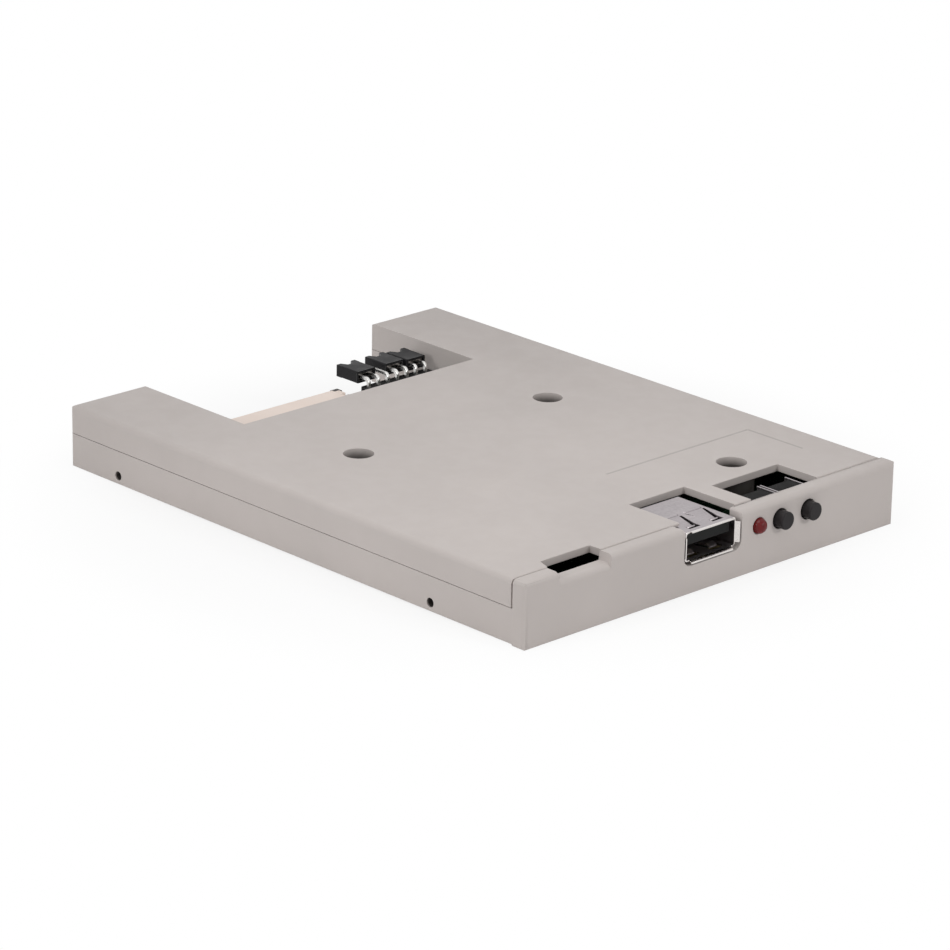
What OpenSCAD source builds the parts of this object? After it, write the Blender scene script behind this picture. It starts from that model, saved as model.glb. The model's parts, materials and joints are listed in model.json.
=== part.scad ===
// Slim floppy drive emulator: a moulded tray with its bezel, a screwed cover and the board between.
// Inside each module +X is to the right seen from the bezel, +Y runs to the rear, +Z is up,
// the bezel's front face is Y = 0 and its underside is Z = 0.

/* [Housing] */
// Width of the tray and the cover
body_w = 96.2; // [90:0.2:102]
// Depth from the bezel's front face to the ends of the rear arms
body_d = 125.5; // [122:0.5:134]
// Height of the cover's top
cover_top = 12.5; // [12.3:0.1:14]
// Height of the underside of the tray, above the bezel's underside
tray_z = 0.1; // [0.05:0.05:0.6]
// Thickness of the side walls
wall_t = 1.6; // [1.2:0.1:2]
// Thickness of the cover's top plate
plate_t = 1.5; // [1.2:0.1:1.5]
// Thickness of the tray's floor
floor_t = 1.2; // [1:0.1:1.3]
// Height of the seam between the tray and the cover
seam_z = 7; // [6.6:0.1:8]
// Open width of the seam
seam_gap = 0.1; // [0.1:0.05:0.3]
// Height of the tray's locating lip inside the cover's skirt
lip_h = 1; // [0.6:0.1:1.4]
// Radius of the rear corners seen from above
corner_r = 1.3; // [0.8:0.1:1.7]
// Radius of the cover's top edges
top_edge_r = 1.2; // [0.3:0.1:1.3]
// Radius of the tray's lower edges
low_edge_r = 0.7; // [0.3:0.1:1.2]

/* [Bezel] */
// Distance that the bezel stands out past each side
bezel_lip = 0.15; // [0:0.05:0.5]
// Distance that the bezel stands above the cover
bezel_rise = 0.2; // [0:0.05:0.4]
// Thickness of the bezel
bezel_t = 3.2; // [2.6:0.1:3.2]
// Radius of the bezel's front edges
bezel_edge_r = 1.1; // [0.5:0.1:1.4]
// Width of the groove between the bezel and the cover's front edge
groove_w = 0.55; // [0.3:0.05:0.6]
// Depth of that groove, down to the ledge in it
groove_depth = 0.7; // [0.4:0.05:0.8]

/* [Rear notch] */
// Width of the notch
notch_w = 60; // [59:0.2:64]
// Length of the notch, from the arms' ends
notch_d = 30.25; // [26:0.25:31]

/* [Cut-outs] */
// Width of the left display notch
display_w = 13.2; // [10:0.1:14]
// Middle of the left display notch, to the left of the middle
display_x = 33.6; // [31:0.1:35]
// Distance of its rear edge from the bezel's front face
display_y = 6.5; // [5:0.1:8]
// Height of its floor in the bezel
display_z = 10.95; // [10.5:0.05:11.6]
// Distance of the switch window's left edge from the middle
window_x = 12.6; // [11.8:0.1:12.8]
// Width of the switch window
window_w = 17.8; // [16.4:0.1:19]
// Distance of the window's rear edge from the bezel's front face
window_y = 13.6; // [11.2:0.1:14]
// Width of the cover's cut-out over the socket
well_w = 14.5; // [12:0.1:14.8]
// Middle of that cut-out, to the right of the middle
well_x = 1.1; // [0.5:0.1:1.3]
// Distance of its rear edge behind the socket's shell
well_rear = 1.7; // [1.4:0.1:2.6]

/* [Screws] */
// Distance of the cover screws from the middle
screw_x = 24.7; // [22:0.1:26]
// Distance of the rear pair of screws in front of the notch
screw_rear = 26.4; // [22:0.1:30]
// Distance of the front screw from the bezel's front face
screw_front_y = 20; // [18.6:0.1:22]
// Diameter of the screw wells in the cover
well_d = 5.8; // [5.6:0.1:6.4]
// Depth of the screw wells
well_depth = 3.9; // [3:0.1:4.5]
// Diameter of the screw heads
head_d = 5; // [4.2:0.1:5.3]
// Height of the screw heads
head_h = 1.7; // [1.2:0.1:2.2]
// Diameter of the screw shanks
shank_d = 2.5; // [2:0.1:2.7]
// Diameter of the mounting holes in the sides
side_hole_d = 1.8; // [1.4:0.1:2]
// Length of the mounting holes, through the wall and the block behind it
side_hole_l = 4.8; // [3:0.1:5]
// Height of the mounting holes
side_hole_z = 2; // [1.7:0.05:2.2]
// Distance of the front mounting holes from the bezel's front face
side_hole_y = 24.1; // [20:0.1:30]
// Distance of the rear mounting holes from the arms' ends
side_hole_rear = 14.6; // [10:0.1:18]

/* [Board] */
// Thickness of the main board
board_t = 1.6; // [1:0.1:1.6]
// Height of the board's upper face
board_z = 5.6; // [5.5:0.05:5.7]
// Gap between the board and the side walls
board_gap = 1.2; // [0.6:0.1:2]
// Distance of the board's front edge from the bezel's front face
board_y = 4.2; // [3.8:0.1:4.6]
// Distance that the board's tongue reaches into the notch
tongue_reach = 12.6; // [12.6:0.1:15]

/* [Socket] */
// Width of the stick socket inside its shell
socket_w = 12.5; // [12:0.1:12.8]
// Height of the socket inside its shell
socket_h = 5.12; // [4.9:0.02:5.2]
// Thickness of the shell's sheet
sheet_t = 0.3; // [0.2:0.05:0.35]
// Length of the shell
socket_d = 14.8; // [13:0.1:14.8]
// Middle of the socket, to the left of the middle
socket_x = 1.2; // [0.8:0.05:1.4]
// Height of the socket's middle
socket_z = 8.95; // [8.8:0.05:9]

/* [Lamp and buttons] */
// Diameter of the lamp's lens
lamp_d = 3; // [2.4:0.1:3.2]
// Distance of the lamp from the middle
lamp_x = 10.9; // [10.2:0.1:11.3]
// Distance of the left button from the middle
button_x = 16.6; // [16.3:0.1:17.2]
// Distance between the buttons
button_pitch = 7.5; // [7.2:0.1:7.6]
// Height of the lamp and the buttons
button_z = 8.85; // [8.7:0.05:8.9]
// Diameter of the buttons
button_d = 3.45; // [3:0.05:3.5]
// Distance that the buttons stand out of the bezel
button_proud = 1.95; // [1:0.05:3]
// Travel of the buttons
button_travel = 0.25; // [0.1:0.05:0.3]
// Gap round a button in the bezel
button_gap = 0.22; // [0.15:0.01:0.3]
// Width of a switch housing
switch_w = 6.3; // [5.8:0.1:6.3]
// Height of a switch housing
switch_h = 6.1; // [5.9:0.1:6.2]
// Depth of a switch housing
switch_d = 3.7; // [3.2:0.1:4.4]

/* [Rear connectors] */
// Spacing of the ribbon contacts
ribbon_pitch = 1; // [0.9:0.02:1]
// Depth of the ribbon connector
ribbon_d = 4.9; // [4.4:0.1:5.2]
// Height of the ribbon connector
ribbon_h = 2.75; // [2.6:0.05:3.2]
// Gap between the ribbon connector's left ear and the notch's wall
ribbon_gap = 0.8; // [0.6:0.1:1.2]
// Number of jumper pins
pin_count = 7; // [7:1:7]
// Spacing of the jumper pins
pin_pitch = 2.54; // [2.5:0.01:2.6]
// Side of a square jumper pin
pin_w = 0.64; // [0.5:0.02:0.68]
// Gap between the jumper header and the notch's right wall
header_gap = 2.2; // [1.7:0.1:2.4]
// Width of a jumper cap
cap_w = 4.9; // [4.6:0.05:5]
// Height of a jumper cap
cap_h = 2.45; // [2.3:0.05:2.6]
// Length of a jumper cap without its ears
cap_d = 4.8; // [4.4:0.1:5.4]
// Length of a jumper cap's ears
ear_d = 1.35; // [0.8:0.05:1.8]

/* [Hidden] */
$fn = 48;

// Overrun of every cut past the face that it goes through
over = 0.5;
// Length that fused solids share
bond = 0.2;
// Clearance between the lip and the skirt, and between plain parts that seat
seat_gap = 0.1;
// Clearance round pieces that pass through a wall
pass_gap = 0.3;

case_colour = [0.74, 0.71, 0.69];
steel_colour = [0.78, 0.78, 0.8];
black_colour = [0.1, 0.1, 0.11];
cream_colour = [0.86, 0.81, 0.75];
green_colour = [0.07, 0.3, 0.16];
gold_colour = [0.8, 0.66, 0.36];

// The frame's origin is the middle of the whole object's footprint
mid_y = (body_d - button_proud) / 2;

bezel_w = body_w + 2 * bezel_lip;
bezel_h = cover_top + bezel_rise;

notch_y = body_d - notch_d;
floor_z = tray_z + floor_t;
rim_z = seam_z - seam_gap / 2;
skirt_z = seam_z + seam_gap / 2;
plate_z = cover_top - plate_t;
cover_y = bezel_t + groove_w;
ledge_t = 0.7;
board_low_z = board_z - board_t;
tongue_w = notch_w - 2 * board_gap;

// Display notch: its sides lean in towards the floor, and the cover's part of it sits further right
display_lean = 0.3;
display_shift = 0.8;
display_slant = 1;

// Posts that carry the board, and the cover's tubes that clamp it
post_d = 5.4;
tube_d = well_d + 2 * plate_t;
pilot_d = shank_d + seat_gap;
board_hole_d = shank_d + 2 * pass_gap;
head_seat_z = cover_top - well_depth;
screw_y = notch_y - screw_rear;
screw_places = [[-screw_x, screw_y], [screw_x, screw_y], [screw_x, screw_front_y]];
rest_x_share = 0.42;
rest_places = [[-rest_x_share * body_w, screw_front_y], [0, notch_y - notch_d / 4]];

// Blocks behind the mounting holes
boss_w = 6;
boss_in = side_hole_l - wall_t + bond;
boss_top_z = board_low_z - pass_gap;
side_places = [side_hole_y, body_d - side_hole_rear];

// Steel shell of the socket
shell_w = socket_w + 2 * sheet_t;
shell_h = socket_h + 2 * sheet_t;
well_y = socket_d + well_rear;
shell_corner_r = 0.6;
flare_d = 0.65;
flare_side = 0.55;
flare_top = 0.15;
flare_low = 0.35;
flare_top_w = 10.9;
flare_side_h = 4;
slot_gap = 0.2;
slot_corner_r = 1.6;
slot_edge_r = 0.6;
spring_x = 3;
spring_tip_w = 2;
spring_root_w = 4.1;
spring_tip_y = 3.4;
spring_root_y = 7.7;
spring_slot_y = 1.7;
spring_cut_w = 0.45;
spring_drop = 0.45;
curl_d = 0.9;
curl_angle = 35;
spring_angle = asin(spring_drop / (spring_root_y - spring_tip_y));
leg_w = 1.5;
leg_out_z = board_low_z - 0.5 * board_t;
leg_y = 10.2;

// Insulating tongue of the socket and its contacts
tongue_t = 1.8;
tongue_side_gap = 0.7;
tongue_top_gap = 0.66;
tongue_front_y = 1.3;
tongue_root_y = 11.5;
foot_d = 0.9;
foot_h = 3.4;
contact_w = 1;
contact_t = 0.15;
contact_front_y = 2.4;
contact_pitches = [-3.5, -1, 1, 3.5];
tail_w = 0.5;
tail_t = 0.3;
tail_hole_d = 0.9;
foot_y = socket_d + foot_d;

// Lamp
lamp_hole_d = lamp_d + 0.5 * button_gap;
lamp_flange_d = 3.8;
lamp_flange_t = 0.9;
lamp_back_y = bezel_t + seat_gap + lamp_flange_t;
lead_w = 0.45;
lead_pitch = 2.54;
lead_reach = 1.2;
lead_bend_y = lamp_back_y + lead_reach;
lead_hole_d = 0.8;

// Switches
switch_y = 4.1;
bracket_t = 0.3;
bracket_d = 5.3;
bracket_top_z = board_z + switch_h + 0.5 * bracket_t;
bracket_y = switch_y - bracket_t - seat_gap / 2;
bracket_gap = 0.05;
bracket_leg_w = 0.9;
bracket_leg_y = 7.4;
chamber_d = 4.7;
chamber_y = 0.5;
chamber_depth = 2.1;
flange_d = 4.2;
flange_t = 0.6;
flange_gap = 0.05;
dome_r = 6;
dome_t = 0.1;
dome_d = 4.3;
switch_pin_w = 0.7;
switch_pin_t = 0.3;
button_edge_r = 0.3;
button_places = [button_x, button_x + button_pitch];

// Ribbon connector
header_w = pin_count * pin_pitch;
ribbon_end = 3;
ear_w = 2.1;
header_room = 3.6;
ribbon_room = notch_w - ribbon_gap - header_room - header_w - header_gap - 2 * (ribbon_end + ear_w);
ribbon_count = 1 + floor(ribbon_room / ribbon_pitch);
ribbon_span = (ribbon_count - 1) * ribbon_pitch;
ribbon_w = ribbon_span + 2 * ribbon_end;
ribbon_mid_x = -notch_w / 2 + ribbon_gap + ear_w + ribbon_w / 2;
ribbon_rear_y = notch_y + tongue_reach + pass_gap;
ribbon_front_y = ribbon_rear_y - ribbon_d;
mouth_w = ribbon_span + 2.4 * ribbon_pitch;
mouth_h = 1.7;
mouth_d = 3.6;
mouth_low = 0.5;
mouth_z = board_z + mouth_low;
slide_t = 0.6;
slide_gap = 0.1;
bar_d = 0.7;
bar_h = 2.2;
bar_top_z = board_z + bar_h;
ear_h = 2.5;
wing_w = 1.2;
wing_d = 1.9;
wing_in = 2.2;
wing_y = ribbon_front_y + wing_in;
tab_w = 1.9;
tab_d = 1.2;
tab_h = 2.3;
tab_in = 0.8;
tab_y = ribbon_front_y + tab_in;
blade_w = 0.4;
blade_t = 0.35;
foot_pad_d = 1;
foot_pad_t = 0.2;

// Jumper header
base_d = 2.5;
base_h = 2.5;
base_gap_y = 1.1;
base_y = notch_y + tongue_reach - base_gap_y - base_d;
pin_x = notch_w / 2 - header_gap - (pin_count - 0.5) * pin_pitch;
base_bevel = 0.45;
pin_y = base_y + base_d / 2;
bend_r = 0.9;
pin_rise = 1.6;
pin_axis_z = board_z + base_h + pin_rise;
pin_under = 1;
pin_low_z = board_low_z - pin_under;
pin_out = 5.35;
pin_tip_y = pin_y + pin_out;
pin_hole_d = 1;
cap_out = 2.15;
cap_y = pin_y + cap_out;
cap_nudge = 0.75;
cap_places = [0.5, 3.5, 5.5];
cap_nudges = [0, 0, -cap_nudge];
cap_hole_w = 4;
cap_hole_h = 1.5;
cap_hole_d = 4.4;
cap_edge_r = 0.3;
ear_root_w = 1.9;
ear_tip_w = 1.1;
clip_w = 3.8;
clip_t = 0.2;
clip_gap = 0.04;
clip_d = 4;
clip_inset = 0.3;

// Chips and small parts on the board, at shares of the open area between the screws' tubes
part_gap = 1.2;
area_y = screw_front_y + tube_d / 2 + part_gap;
area_d = screw_y - tube_d / 2 - part_gap - area_y;
controller_shares = [-0.1, 0.6];
crystal_shares = [0.12, 0.6];
regulator_shares = [0.32, 0.72];
can_shares = [[0.3, 0.15], [-0.34, 0.15]];
// Places in the row behind the rear screws
logic_row_shares = [-0.26, -0.12];
capacitor_row_share = 0.1;
chip_w = 7;
chip_h = 1.4;
chip_stand = 0.1;
chip_pin_count = 12;
chip_pin_pitch = 0.5;
chip_pin_w = 0.22;
chip_pin_t = 0.15;
chip_pin_out = 1;
logic_w = 3.9;
logic_d = 8.7;
logic_h = 1.5;
logic_pin_count = 7;
logic_pin_pitch = 1.27;
logic_pin_w = 0.4;
crystal_w = 11;
crystal_d = 4.6;
crystal_h = 3.4;
crystal_base_h = 0.5;
regulator_w = 6.5;
regulator_d = 3.5;
regulator_h = 1.6;
regulator_tab_w = 3;
regulator_out = 1.7;
regulator_leg_w = 0.7;
regulator_pitch = 2.3;
can_d = 5;
can_h = 4.4;
can_base_h = 0.8;
can_neck_d = 4.5;
can_neck_t = 0.4;
small_l = 1.6;
small_w = 0.8;
small_h = 0.5;
resistor_grid = [6, 2];
resistor_shares = [-0.34, 0.7];
capacitor_grid = [4, 3];
small_pitch = 2.2;
row_pitch = 3.4;

module in_frame() {
    translate([0, -mid_y, 0]) children();
}

module along_x(x0, x1) {
    translate([x0, 0, 0]) rotate([90, 0, 90]) linear_extrude(x1 - x0) children();
}

module along_y(y0, y1) {
    translate([0, y1, 0]) rotate([90, 0, 0]) linear_extrude(y1 - y0) children();
}

module along_z(z0, z1) {
    translate([0, 0, z0]) linear_extrude(z1 - z0) children();
}

module block(x, y, z) {
    translate([x[0], y[0], z[0]]) cube([x[1] - x[0], y[1] - y[0], z[1] - z[0]]);
}

function about(middle, width) = [middle - width / 2, middle + width / 2];

// Cuts the round off one corner of a rectangle; side gives the way into the rectangle
module corner_cut(corner, side, r) {
    low = [for (i = [0, 1]) min(corner[i] - side[i] * over, corner[i] + side[i] * r)];
    if (r > 0)
        difference() {
            translate(low) square(r + over);
            translate([corner[0] + side[0] * r, corner[1] + side[1] * r]) circle(r);
        }
}

// Rectangle with its own radius at each corner: low left, low right, high right, high left
module round_rect(x, y, r) {
    difference() {
        translate([x[0], y[0]]) square([x[1] - x[0], y[1] - y[0]]);
        corner_cut([x[0], y[0]], [1, 1], r[0]);
        corner_cut([x[1], y[0]], [-1, 1], r[1]);
        corner_cut([x[1], y[1]], [-1, -1], r[2]);
        corner_cut([x[0], y[1]], [1, -1], r[3]);
    }
}

// Outline of the housing behind the bezel, seen from above, drawn in by inset
module body_plan(front, inset) {
    r = max(corner_r - inset, 0);
    notch_r = corner_r / 2;
    difference() {
        round_rect([-body_w / 2 + inset, body_w / 2 - inset], [front, body_d - inset], [0, 0, r, r]);
        translate([-notch_w / 2 - inset, notch_y - inset]) square([notch_w + 2 * inset, notch_d + over]);
        for (s = [-1, 1])
            corner_cut([s * (notch_w / 2 + inset), body_d - inset], [s, -1], max(notch_r - inset, 0));
    }
}

module bezel_block() {
    r = bezel_edge_r;
    low_r = r / 2;
    intersection() {
        along_y(0, bezel_t) round_rect(about(0, bezel_w), [0, bezel_h], [low_r, low_r, r, r]);
        along_x(-bezel_w / 2, bezel_w / 2) round_rect([0, bezel_t], [0, bezel_h], [low_r, 0, r / 3, r]);
        along_z(0, bezel_h) round_rect(about(0, bezel_w), [0, bezel_t], [r, r, 0, 0]);
    }
}

// Rounds the edge where a slot meets the bezel's top; side gives the way out of the slot
module edge_round(x, side, r) {
    difference() {
        translate([min(x, x + side * r), bezel_h - r]) square([r, r + over]);
        translate([x + side * r, bezel_h - r]) circle(r);
    }
}

module bezel_holes() {
    floor_w = display_w - 2 * display_lean;
    slot_r = slot_corner_r;
    slot_x = [-socket_x - shell_w / 2 - flare_side - slot_gap, -socket_x + shell_w / 2 + flare_side + 2 * slot_gap];
    slot_low = socket_z - shell_h / 2 - flare_low - slot_gap;
    along_y(-over, cover_y + over)
        union() {
            round_rect(slot_x, [slot_low, bezel_h + over], [slot_r, slot_r, 0, 0]);
            edge_round(slot_x[0], -1, slot_edge_r / 2);
            edge_round(slot_x[1], 1, slot_edge_r);
        }
    translate([-display_x, 0, 0]) {
        along_y(-over, cover_y + over)
            polygon([[-floor_w / 2, display_z], [floor_w / 2, display_z], [display_w / 2, bezel_h],
                [display_w / 2, bezel_h + over], [-display_w / 2, bezel_h + over], [-display_w / 2, bezel_h]]);
        along_x(-floor_w / 2, floor_w / 2) corner_cut([0, display_z], [1, -1], bezel_edge_r);
    }
    translate([lamp_x, 0, button_z]) bore_y(-over, bezel_t + over, lamp_hole_d);
    for (x = button_places)
        translate([x, 0, button_z]) bore_y(-over, bezel_t + over, button_d + 2 * button_gap);
}

// Ledge round the bezel's rear face, which is the floor of the groove in front of the cover
module groove_ledge() {
    outer_w = body_w - 2 * groove_depth;
    top = cover_top - groove_depth;
    r = max(top_edge_r - groove_depth, 0);
    difference() {
        along_y(bezel_t - bond, cover_y - seat_gap)
            round_rect(about(0, outer_w), [rim_z - bond, top], [0, 0, r, r]);
        along_y(bezel_t - bond - over, cover_y + over)
            translate([-outer_w / 2 + ledge_t, rim_z - bond - over])
                square([outer_w - 2 * ledge_t, top - ledge_t - rim_z + bond + over]);
        cover_cuts(bezel_t);
    }
}

module bore_y(y0, y1, d) {
    translate([0, y1, 0]) rotate([90, 0, 0]) cylinder(h = y1 - y0, d = d);
}

module tray_shell() {
    difference() {
        intersection() {
            along_z(tray_z, rim_z) body_plan(bezel_t - bond, 0);
            along_y(0, body_d)
                round_rect(about(0, body_w), [tray_z, rim_z], [low_edge_r, low_edge_r, 0, 0]);
            along_x(-body_w / 2, body_w / 2) round_rect([0, body_d], [tray_z, rim_z], [0, low_edge_r, 0, 0]);
        }
        along_z(floor_z, rim_z + over) body_plan(bezel_t, wall_t);
    }
    difference() {
        along_z(rim_z - bond, rim_z + lip_h) body_plan(bezel_t, wall_t / 2 + seat_gap / 2);
        along_z(rim_z - bond - over, rim_z + lip_h + over) body_plan(bezel_t - over, wall_t);
    }
}

// Opening that the board's tongue passes through, in the wall at the front of the notch
module tongue_way(gap) {
    block(about(0, tongue_w + 2 * gap), [notch_y - wall_t - over, notch_y + over],
        [boss_top_z, rim_z + lip_h + over]);
}

module bottom_tray() {
    color(case_colour) in_frame() difference() {
        union() {
            bezel_block();
            groove_ledge();
            difference() {
                tray_shell();
                tongue_way(pass_gap);
            }
            for (p = screw_places)
                translate([p[0], p[1], floor_z - bond]) cylinder(h = board_low_z - floor_z + bond, d = post_d);
            for (p = rest_places)
                translate([p[0], p[1], floor_z - bond]) cylinder(h = board_low_z - floor_z + bond, d = post_d);
            for (s = [-1, 1], y = side_places)
                block(about(s * (body_w / 2 - side_hole_l + boss_in / 2), boss_in), about(y, boss_w),
                    [floor_z - bond, boss_top_z]);
        }
        bezel_holes();
        for (p = screw_places)
            translate([p[0], p[1], tray_z + floor_t / 2]) cylinder(h = board_z, d = pilot_d);
        for (s = [-1, 1], y = side_places)
            translate([s * (body_w / 2 + over), y, side_hole_z]) rotate([0, -s * 90, 0])
                cylinder(h = side_hole_l + 2 * over, d = side_hole_d);
    }
}

module cover_shell() {
    lip_room = lip_h + pass_gap;
    difference() {
        intersection() {
            along_z(skirt_z, cover_top) body_plan(cover_y, 0);
            along_y(0, body_d)
                round_rect(about(0, body_w), [skirt_z, cover_top], [0, 0, top_edge_r, top_edge_r]);
            along_x(-body_w / 2, body_w / 2)
                round_rect([cover_y, body_d], [skirt_z, cover_top], [0, 0, top_edge_r, groove_w / 2]);
        }
        along_z(skirt_z - over, plate_z) body_plan(cover_y - over, wall_t);
        along_z(skirt_z - over, skirt_z + lip_room) body_plan(cover_y - over, wall_t / 2 - seat_gap / 2);
    }
}

// Apron that closes the notch's front wall down to the board's tongue
module cover_apron() {
    block(about(0, tongue_w - 2 * seat_gap), [notch_y - wall_t, notch_y],
        [board_z + pass_gap, skirt_z + lip_h + 2 * pass_gap]);
}

// Openings in the cover's top: over the socket, over the switches and at the display notch
module cover_cuts(front) {
    left = -display_x - display_w / 2 + display_shift;
    block(about(well_x, well_w), [front, well_y], [plate_z - over, cover_top + over]);
    block([window_x, window_x + window_w], [front, window_y], [plate_z - over, cover_top + over]);
    along_z(plate_z - over, cover_top + over)
        polygon([[left, front], [left + display_w, front], [left + display_w, display_y],
            [left + display_slant, display_y], [left, cover_y]]);
}

module top_cover() {
    shell_left = -socket_x - shell_w / 2;
    color(case_colour) in_frame() difference() {
        union() {
            cover_shell();
            cover_apron();
            for (p = screw_places)
                translate([p[0], p[1], board_z + seat_gap])
                    cylinder(h = plate_z + bond - board_z - seat_gap, d = tube_d);
        }
        for (p = screw_places) {
            translate([p[0], p[1], head_seat_z]) cylinder(h = well_depth + over, d = well_d);
            translate([p[0], p[1], board_z - over]) cylinder(h = head_seat_z, d = board_hole_d);
        }
        cover_cuts(cover_y - over);
        block([shell_left - pass_gap, well_x], [cover_y - over, well_y],
            [plate_z - over, socket_z + shell_h / 2 + seat_gap]);
    }
}

module cover_screws() {
    recess_w = head_d / 2;
    recess_t = head_d / 8;
    tip_z = tray_z + floor_t / 2 + seat_gap;
    color(steel_colour) in_frame() for (p = screw_places) translate([p[0], p[1], 0]) difference() {
        union() {
            translate([0, 0, tip_z]) cylinder(h = head_seat_z - tip_z + bond, d = shank_d);
            intersection() {
                translate([0, 0, head_seat_z]) cylinder(h = head_h, d = head_d);
                translate([0, 0, head_seat_z + head_h - head_d]) sphere(r = head_d);
            }
        }
        for (a = [0, 90])
            rotate([0, 0, a]) block(about(0, recess_w), about(0, recess_t),
                [head_seat_z + head_h / 2, head_seat_z + head_h + over]);
    }
}

module main_board() {
    r = corner_r / 2;
    half = body_w / 2 - wall_t - board_gap;
    rear = notch_y - wall_t - board_gap / 2;
    color(green_colour) in_frame() difference() {
        along_z(board_low_z, board_z) {
            round_rect([-half, half], [board_y, rear], [r, r, r, r]);
            round_rect(about(0, tongue_w - 2 * pass_gap), [rear - board_gap, notch_y + tongue_reach],
                [0, 0, r, r]);
        }
        for (p = screw_places) board_hole(p[0], p[1], board_hole_d);
        for (x = contact_pitches) board_hole(x - socket_x, foot_y + tail_t / 2, tail_hole_d);
        for (s = [-1, 1]) board_hole(lamp_x + s * lead_pitch / 2, lead_bend_y, lead_hole_d);
        for (i = [0 : pin_count - 1]) board_hole(pin_x + i * pin_pitch, pin_y, pin_hole_d);
        for (s = [-1, 1])
            board_slot(-socket_x + s * (shell_w - sheet_t) / 2, leg_y, sheet_t, leg_w);
        for (x = button_places, s = [-1, 1])
            board_slot(x + s * (switch_w / 2 + bracket_gap + bracket_t / 2), bracket_leg_y,
                bracket_t, bracket_leg_w);
        for (x = button_places, s = [-1, 1])
            board_slot(x + s * switch_w / 4, switch_y + switch_d + switch_pin_t / 2, switch_pin_w, switch_pin_t);
    }
}

module board_hole(x, y, d) {
    translate([x, y, board_low_z - over]) cylinder(h = board_t + 2 * over, d = d);
}

module board_slot(x, y, w, d) {
    block(about(x, w + 2 * seat_gap), about(y, d + 2 * seat_gap), [board_low_z - over, board_z + over]);
}

// Outline of the socket's shell, drawn in by inset
module shell_outline(inset) {
    r = shell_corner_r - inset / 2;
    round_rect(about(-socket_x, shell_w - 2 * inset), about(socket_z, shell_h - 2 * inset), [r, r, r, r]);
}

// One bent lip at the mouth of the shell: a sheet that leans out from the wall towards the front
module mouth_lip(edge, flare) {
    polygon([[flare_d + bond, edge], [flare_d + bond, edge - sheet_t],
        [flare_d, edge - sheet_t], [0, edge - sheet_t + flare], [0, edge + flare], [flare_d, edge]]);
}

module spring_window() {
    tip = spring_tip_w / 2 + spring_cut_w;
    root = spring_root_w / 2 + spring_cut_w;
    polygon([[-tip, spring_slot_y], [tip, spring_slot_y], [tip, spring_tip_y], [root, spring_root_y],
        [-root, spring_root_y], [-tip, spring_tip_y]]);
}

module spring_leaf() {
    reach = spring_root_y - spring_tip_y;
    translate([0, spring_root_y, shell_h / 2 - sheet_t]) rotate([spring_angle, 0, 0]) {
        linear_extrude(sheet_t)
            polygon([[-spring_tip_w / 2, -reach], [spring_tip_w / 2, -reach],
                [spring_root_w / 2, bond], [-spring_root_w / 2, bond]]);
        translate([-spring_tip_w / 2, -reach, 0]) rotate([-curl_angle, 0, 0])
            translate([0, -curl_d, 0]) cube([spring_tip_w, curl_d + sheet_t, sheet_t]);
    }
}

module socket_shell() {
    half_w = shell_w / 2;
    half_h = shell_h / 2;
    color(steel_colour) in_frame() {
        difference() {
            union() {
                along_y(flare_d, socket_d) difference() {
                    shell_outline(0);
                    shell_outline(sheet_t);
                }
                translate([-socket_x, 0, socket_z]) {
                    along_x(-flare_top_w / 2, flare_top_w / 2) mouth_lip(half_h, flare_top);
                    along_x(-flare_top_w / 2, flare_top_w / 2) mirror([0, 1]) mouth_lip(half_h, flare_low);
                    for (s = [0, 1])
                        mirror([s, 0, 0]) along_z(-flare_side_h / 2, flare_side_h / 2)
                            mirror([1, 0]) rotate(90) mouth_lip(half_w, flare_side);
                    for (s = [-1, 1])
                        block(about(s * (half_w - sheet_t / 2), sheet_t), about(leg_y, leg_w),
                            [leg_out_z - socket_z, -half_h + shell_corner_r + bond]);
                }
            }
            translate([-socket_x, 0, socket_z]) for (m = [0, 1], s = [-1, 1])
                mirror([0, 0, m]) translate([s * spring_x, 0, 0]) along_z(half_h - 2 * sheet_t, half_h + over)
                    spring_window();
        }
        translate([-socket_x, 0, socket_z]) for (m = [0, 1], s = [-1, 1])
            mirror([0, 0, m]) translate([s * spring_x, 0, 0]) spring_leaf();
    }
}

module socket_tongue() {
    top_z = socket_z + socket_h / 2 - tongue_top_gap;
    color(black_colour) in_frame() {
        along_y(tongue_front_y, tongue_root_y + bond)
            round_rect(about(-socket_x, socket_w - 2 * tongue_side_gap), [top_z - tongue_t, top_z],
                [seat_gap, seat_gap, seat_gap, seat_gap]);
        along_y(tongue_root_y, socket_d + bond)
            round_rect(about(-socket_x, socket_w - 2 * seat_gap), about(socket_z, socket_h - 2 * seat_gap),
                [shell_corner_r, shell_corner_r, shell_corner_r, shell_corner_r]);
        block(about(-socket_x, socket_w - 2 * seat_gap), [socket_d + seat_gap, foot_y],
            [board_z, board_z + foot_h]);
    }
}

module socket_contacts() {
    low_z = socket_z + socket_h / 2 - tongue_top_gap - tongue_t;
    color(gold_colour) in_frame() for (x = contact_pitches) {
        block(about(x - socket_x, contact_w), [contact_front_y, tongue_root_y], [low_z - contact_t, low_z]);
        block(about(x - socket_x, tail_w), [foot_y, foot_y + tail_t],
            [pin_low_z, board_z + foot_h - seat_gap]);
    }
}

// Round-nosed lens with a flange that has a flat on its right side
module lamp_lens() {
    flange_y = lamp_back_y - lamp_flange_t;
    flange_r = lamp_flange_d / 2;
    color([0.7, 0.04, 0.05]) in_frame() translate([lamp_x, 0, button_z]) {
        bore_y(0, lamp_back_y, lamp_d);
        sphere(d = lamp_d);
        intersection() {
            bore_y(flange_y, lamp_back_y, lamp_flange_d);
            block([-flange_r, lamp_d / 2], [flange_y, lamp_back_y], [-flange_r, flange_r]);
        }
    }
}

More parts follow.
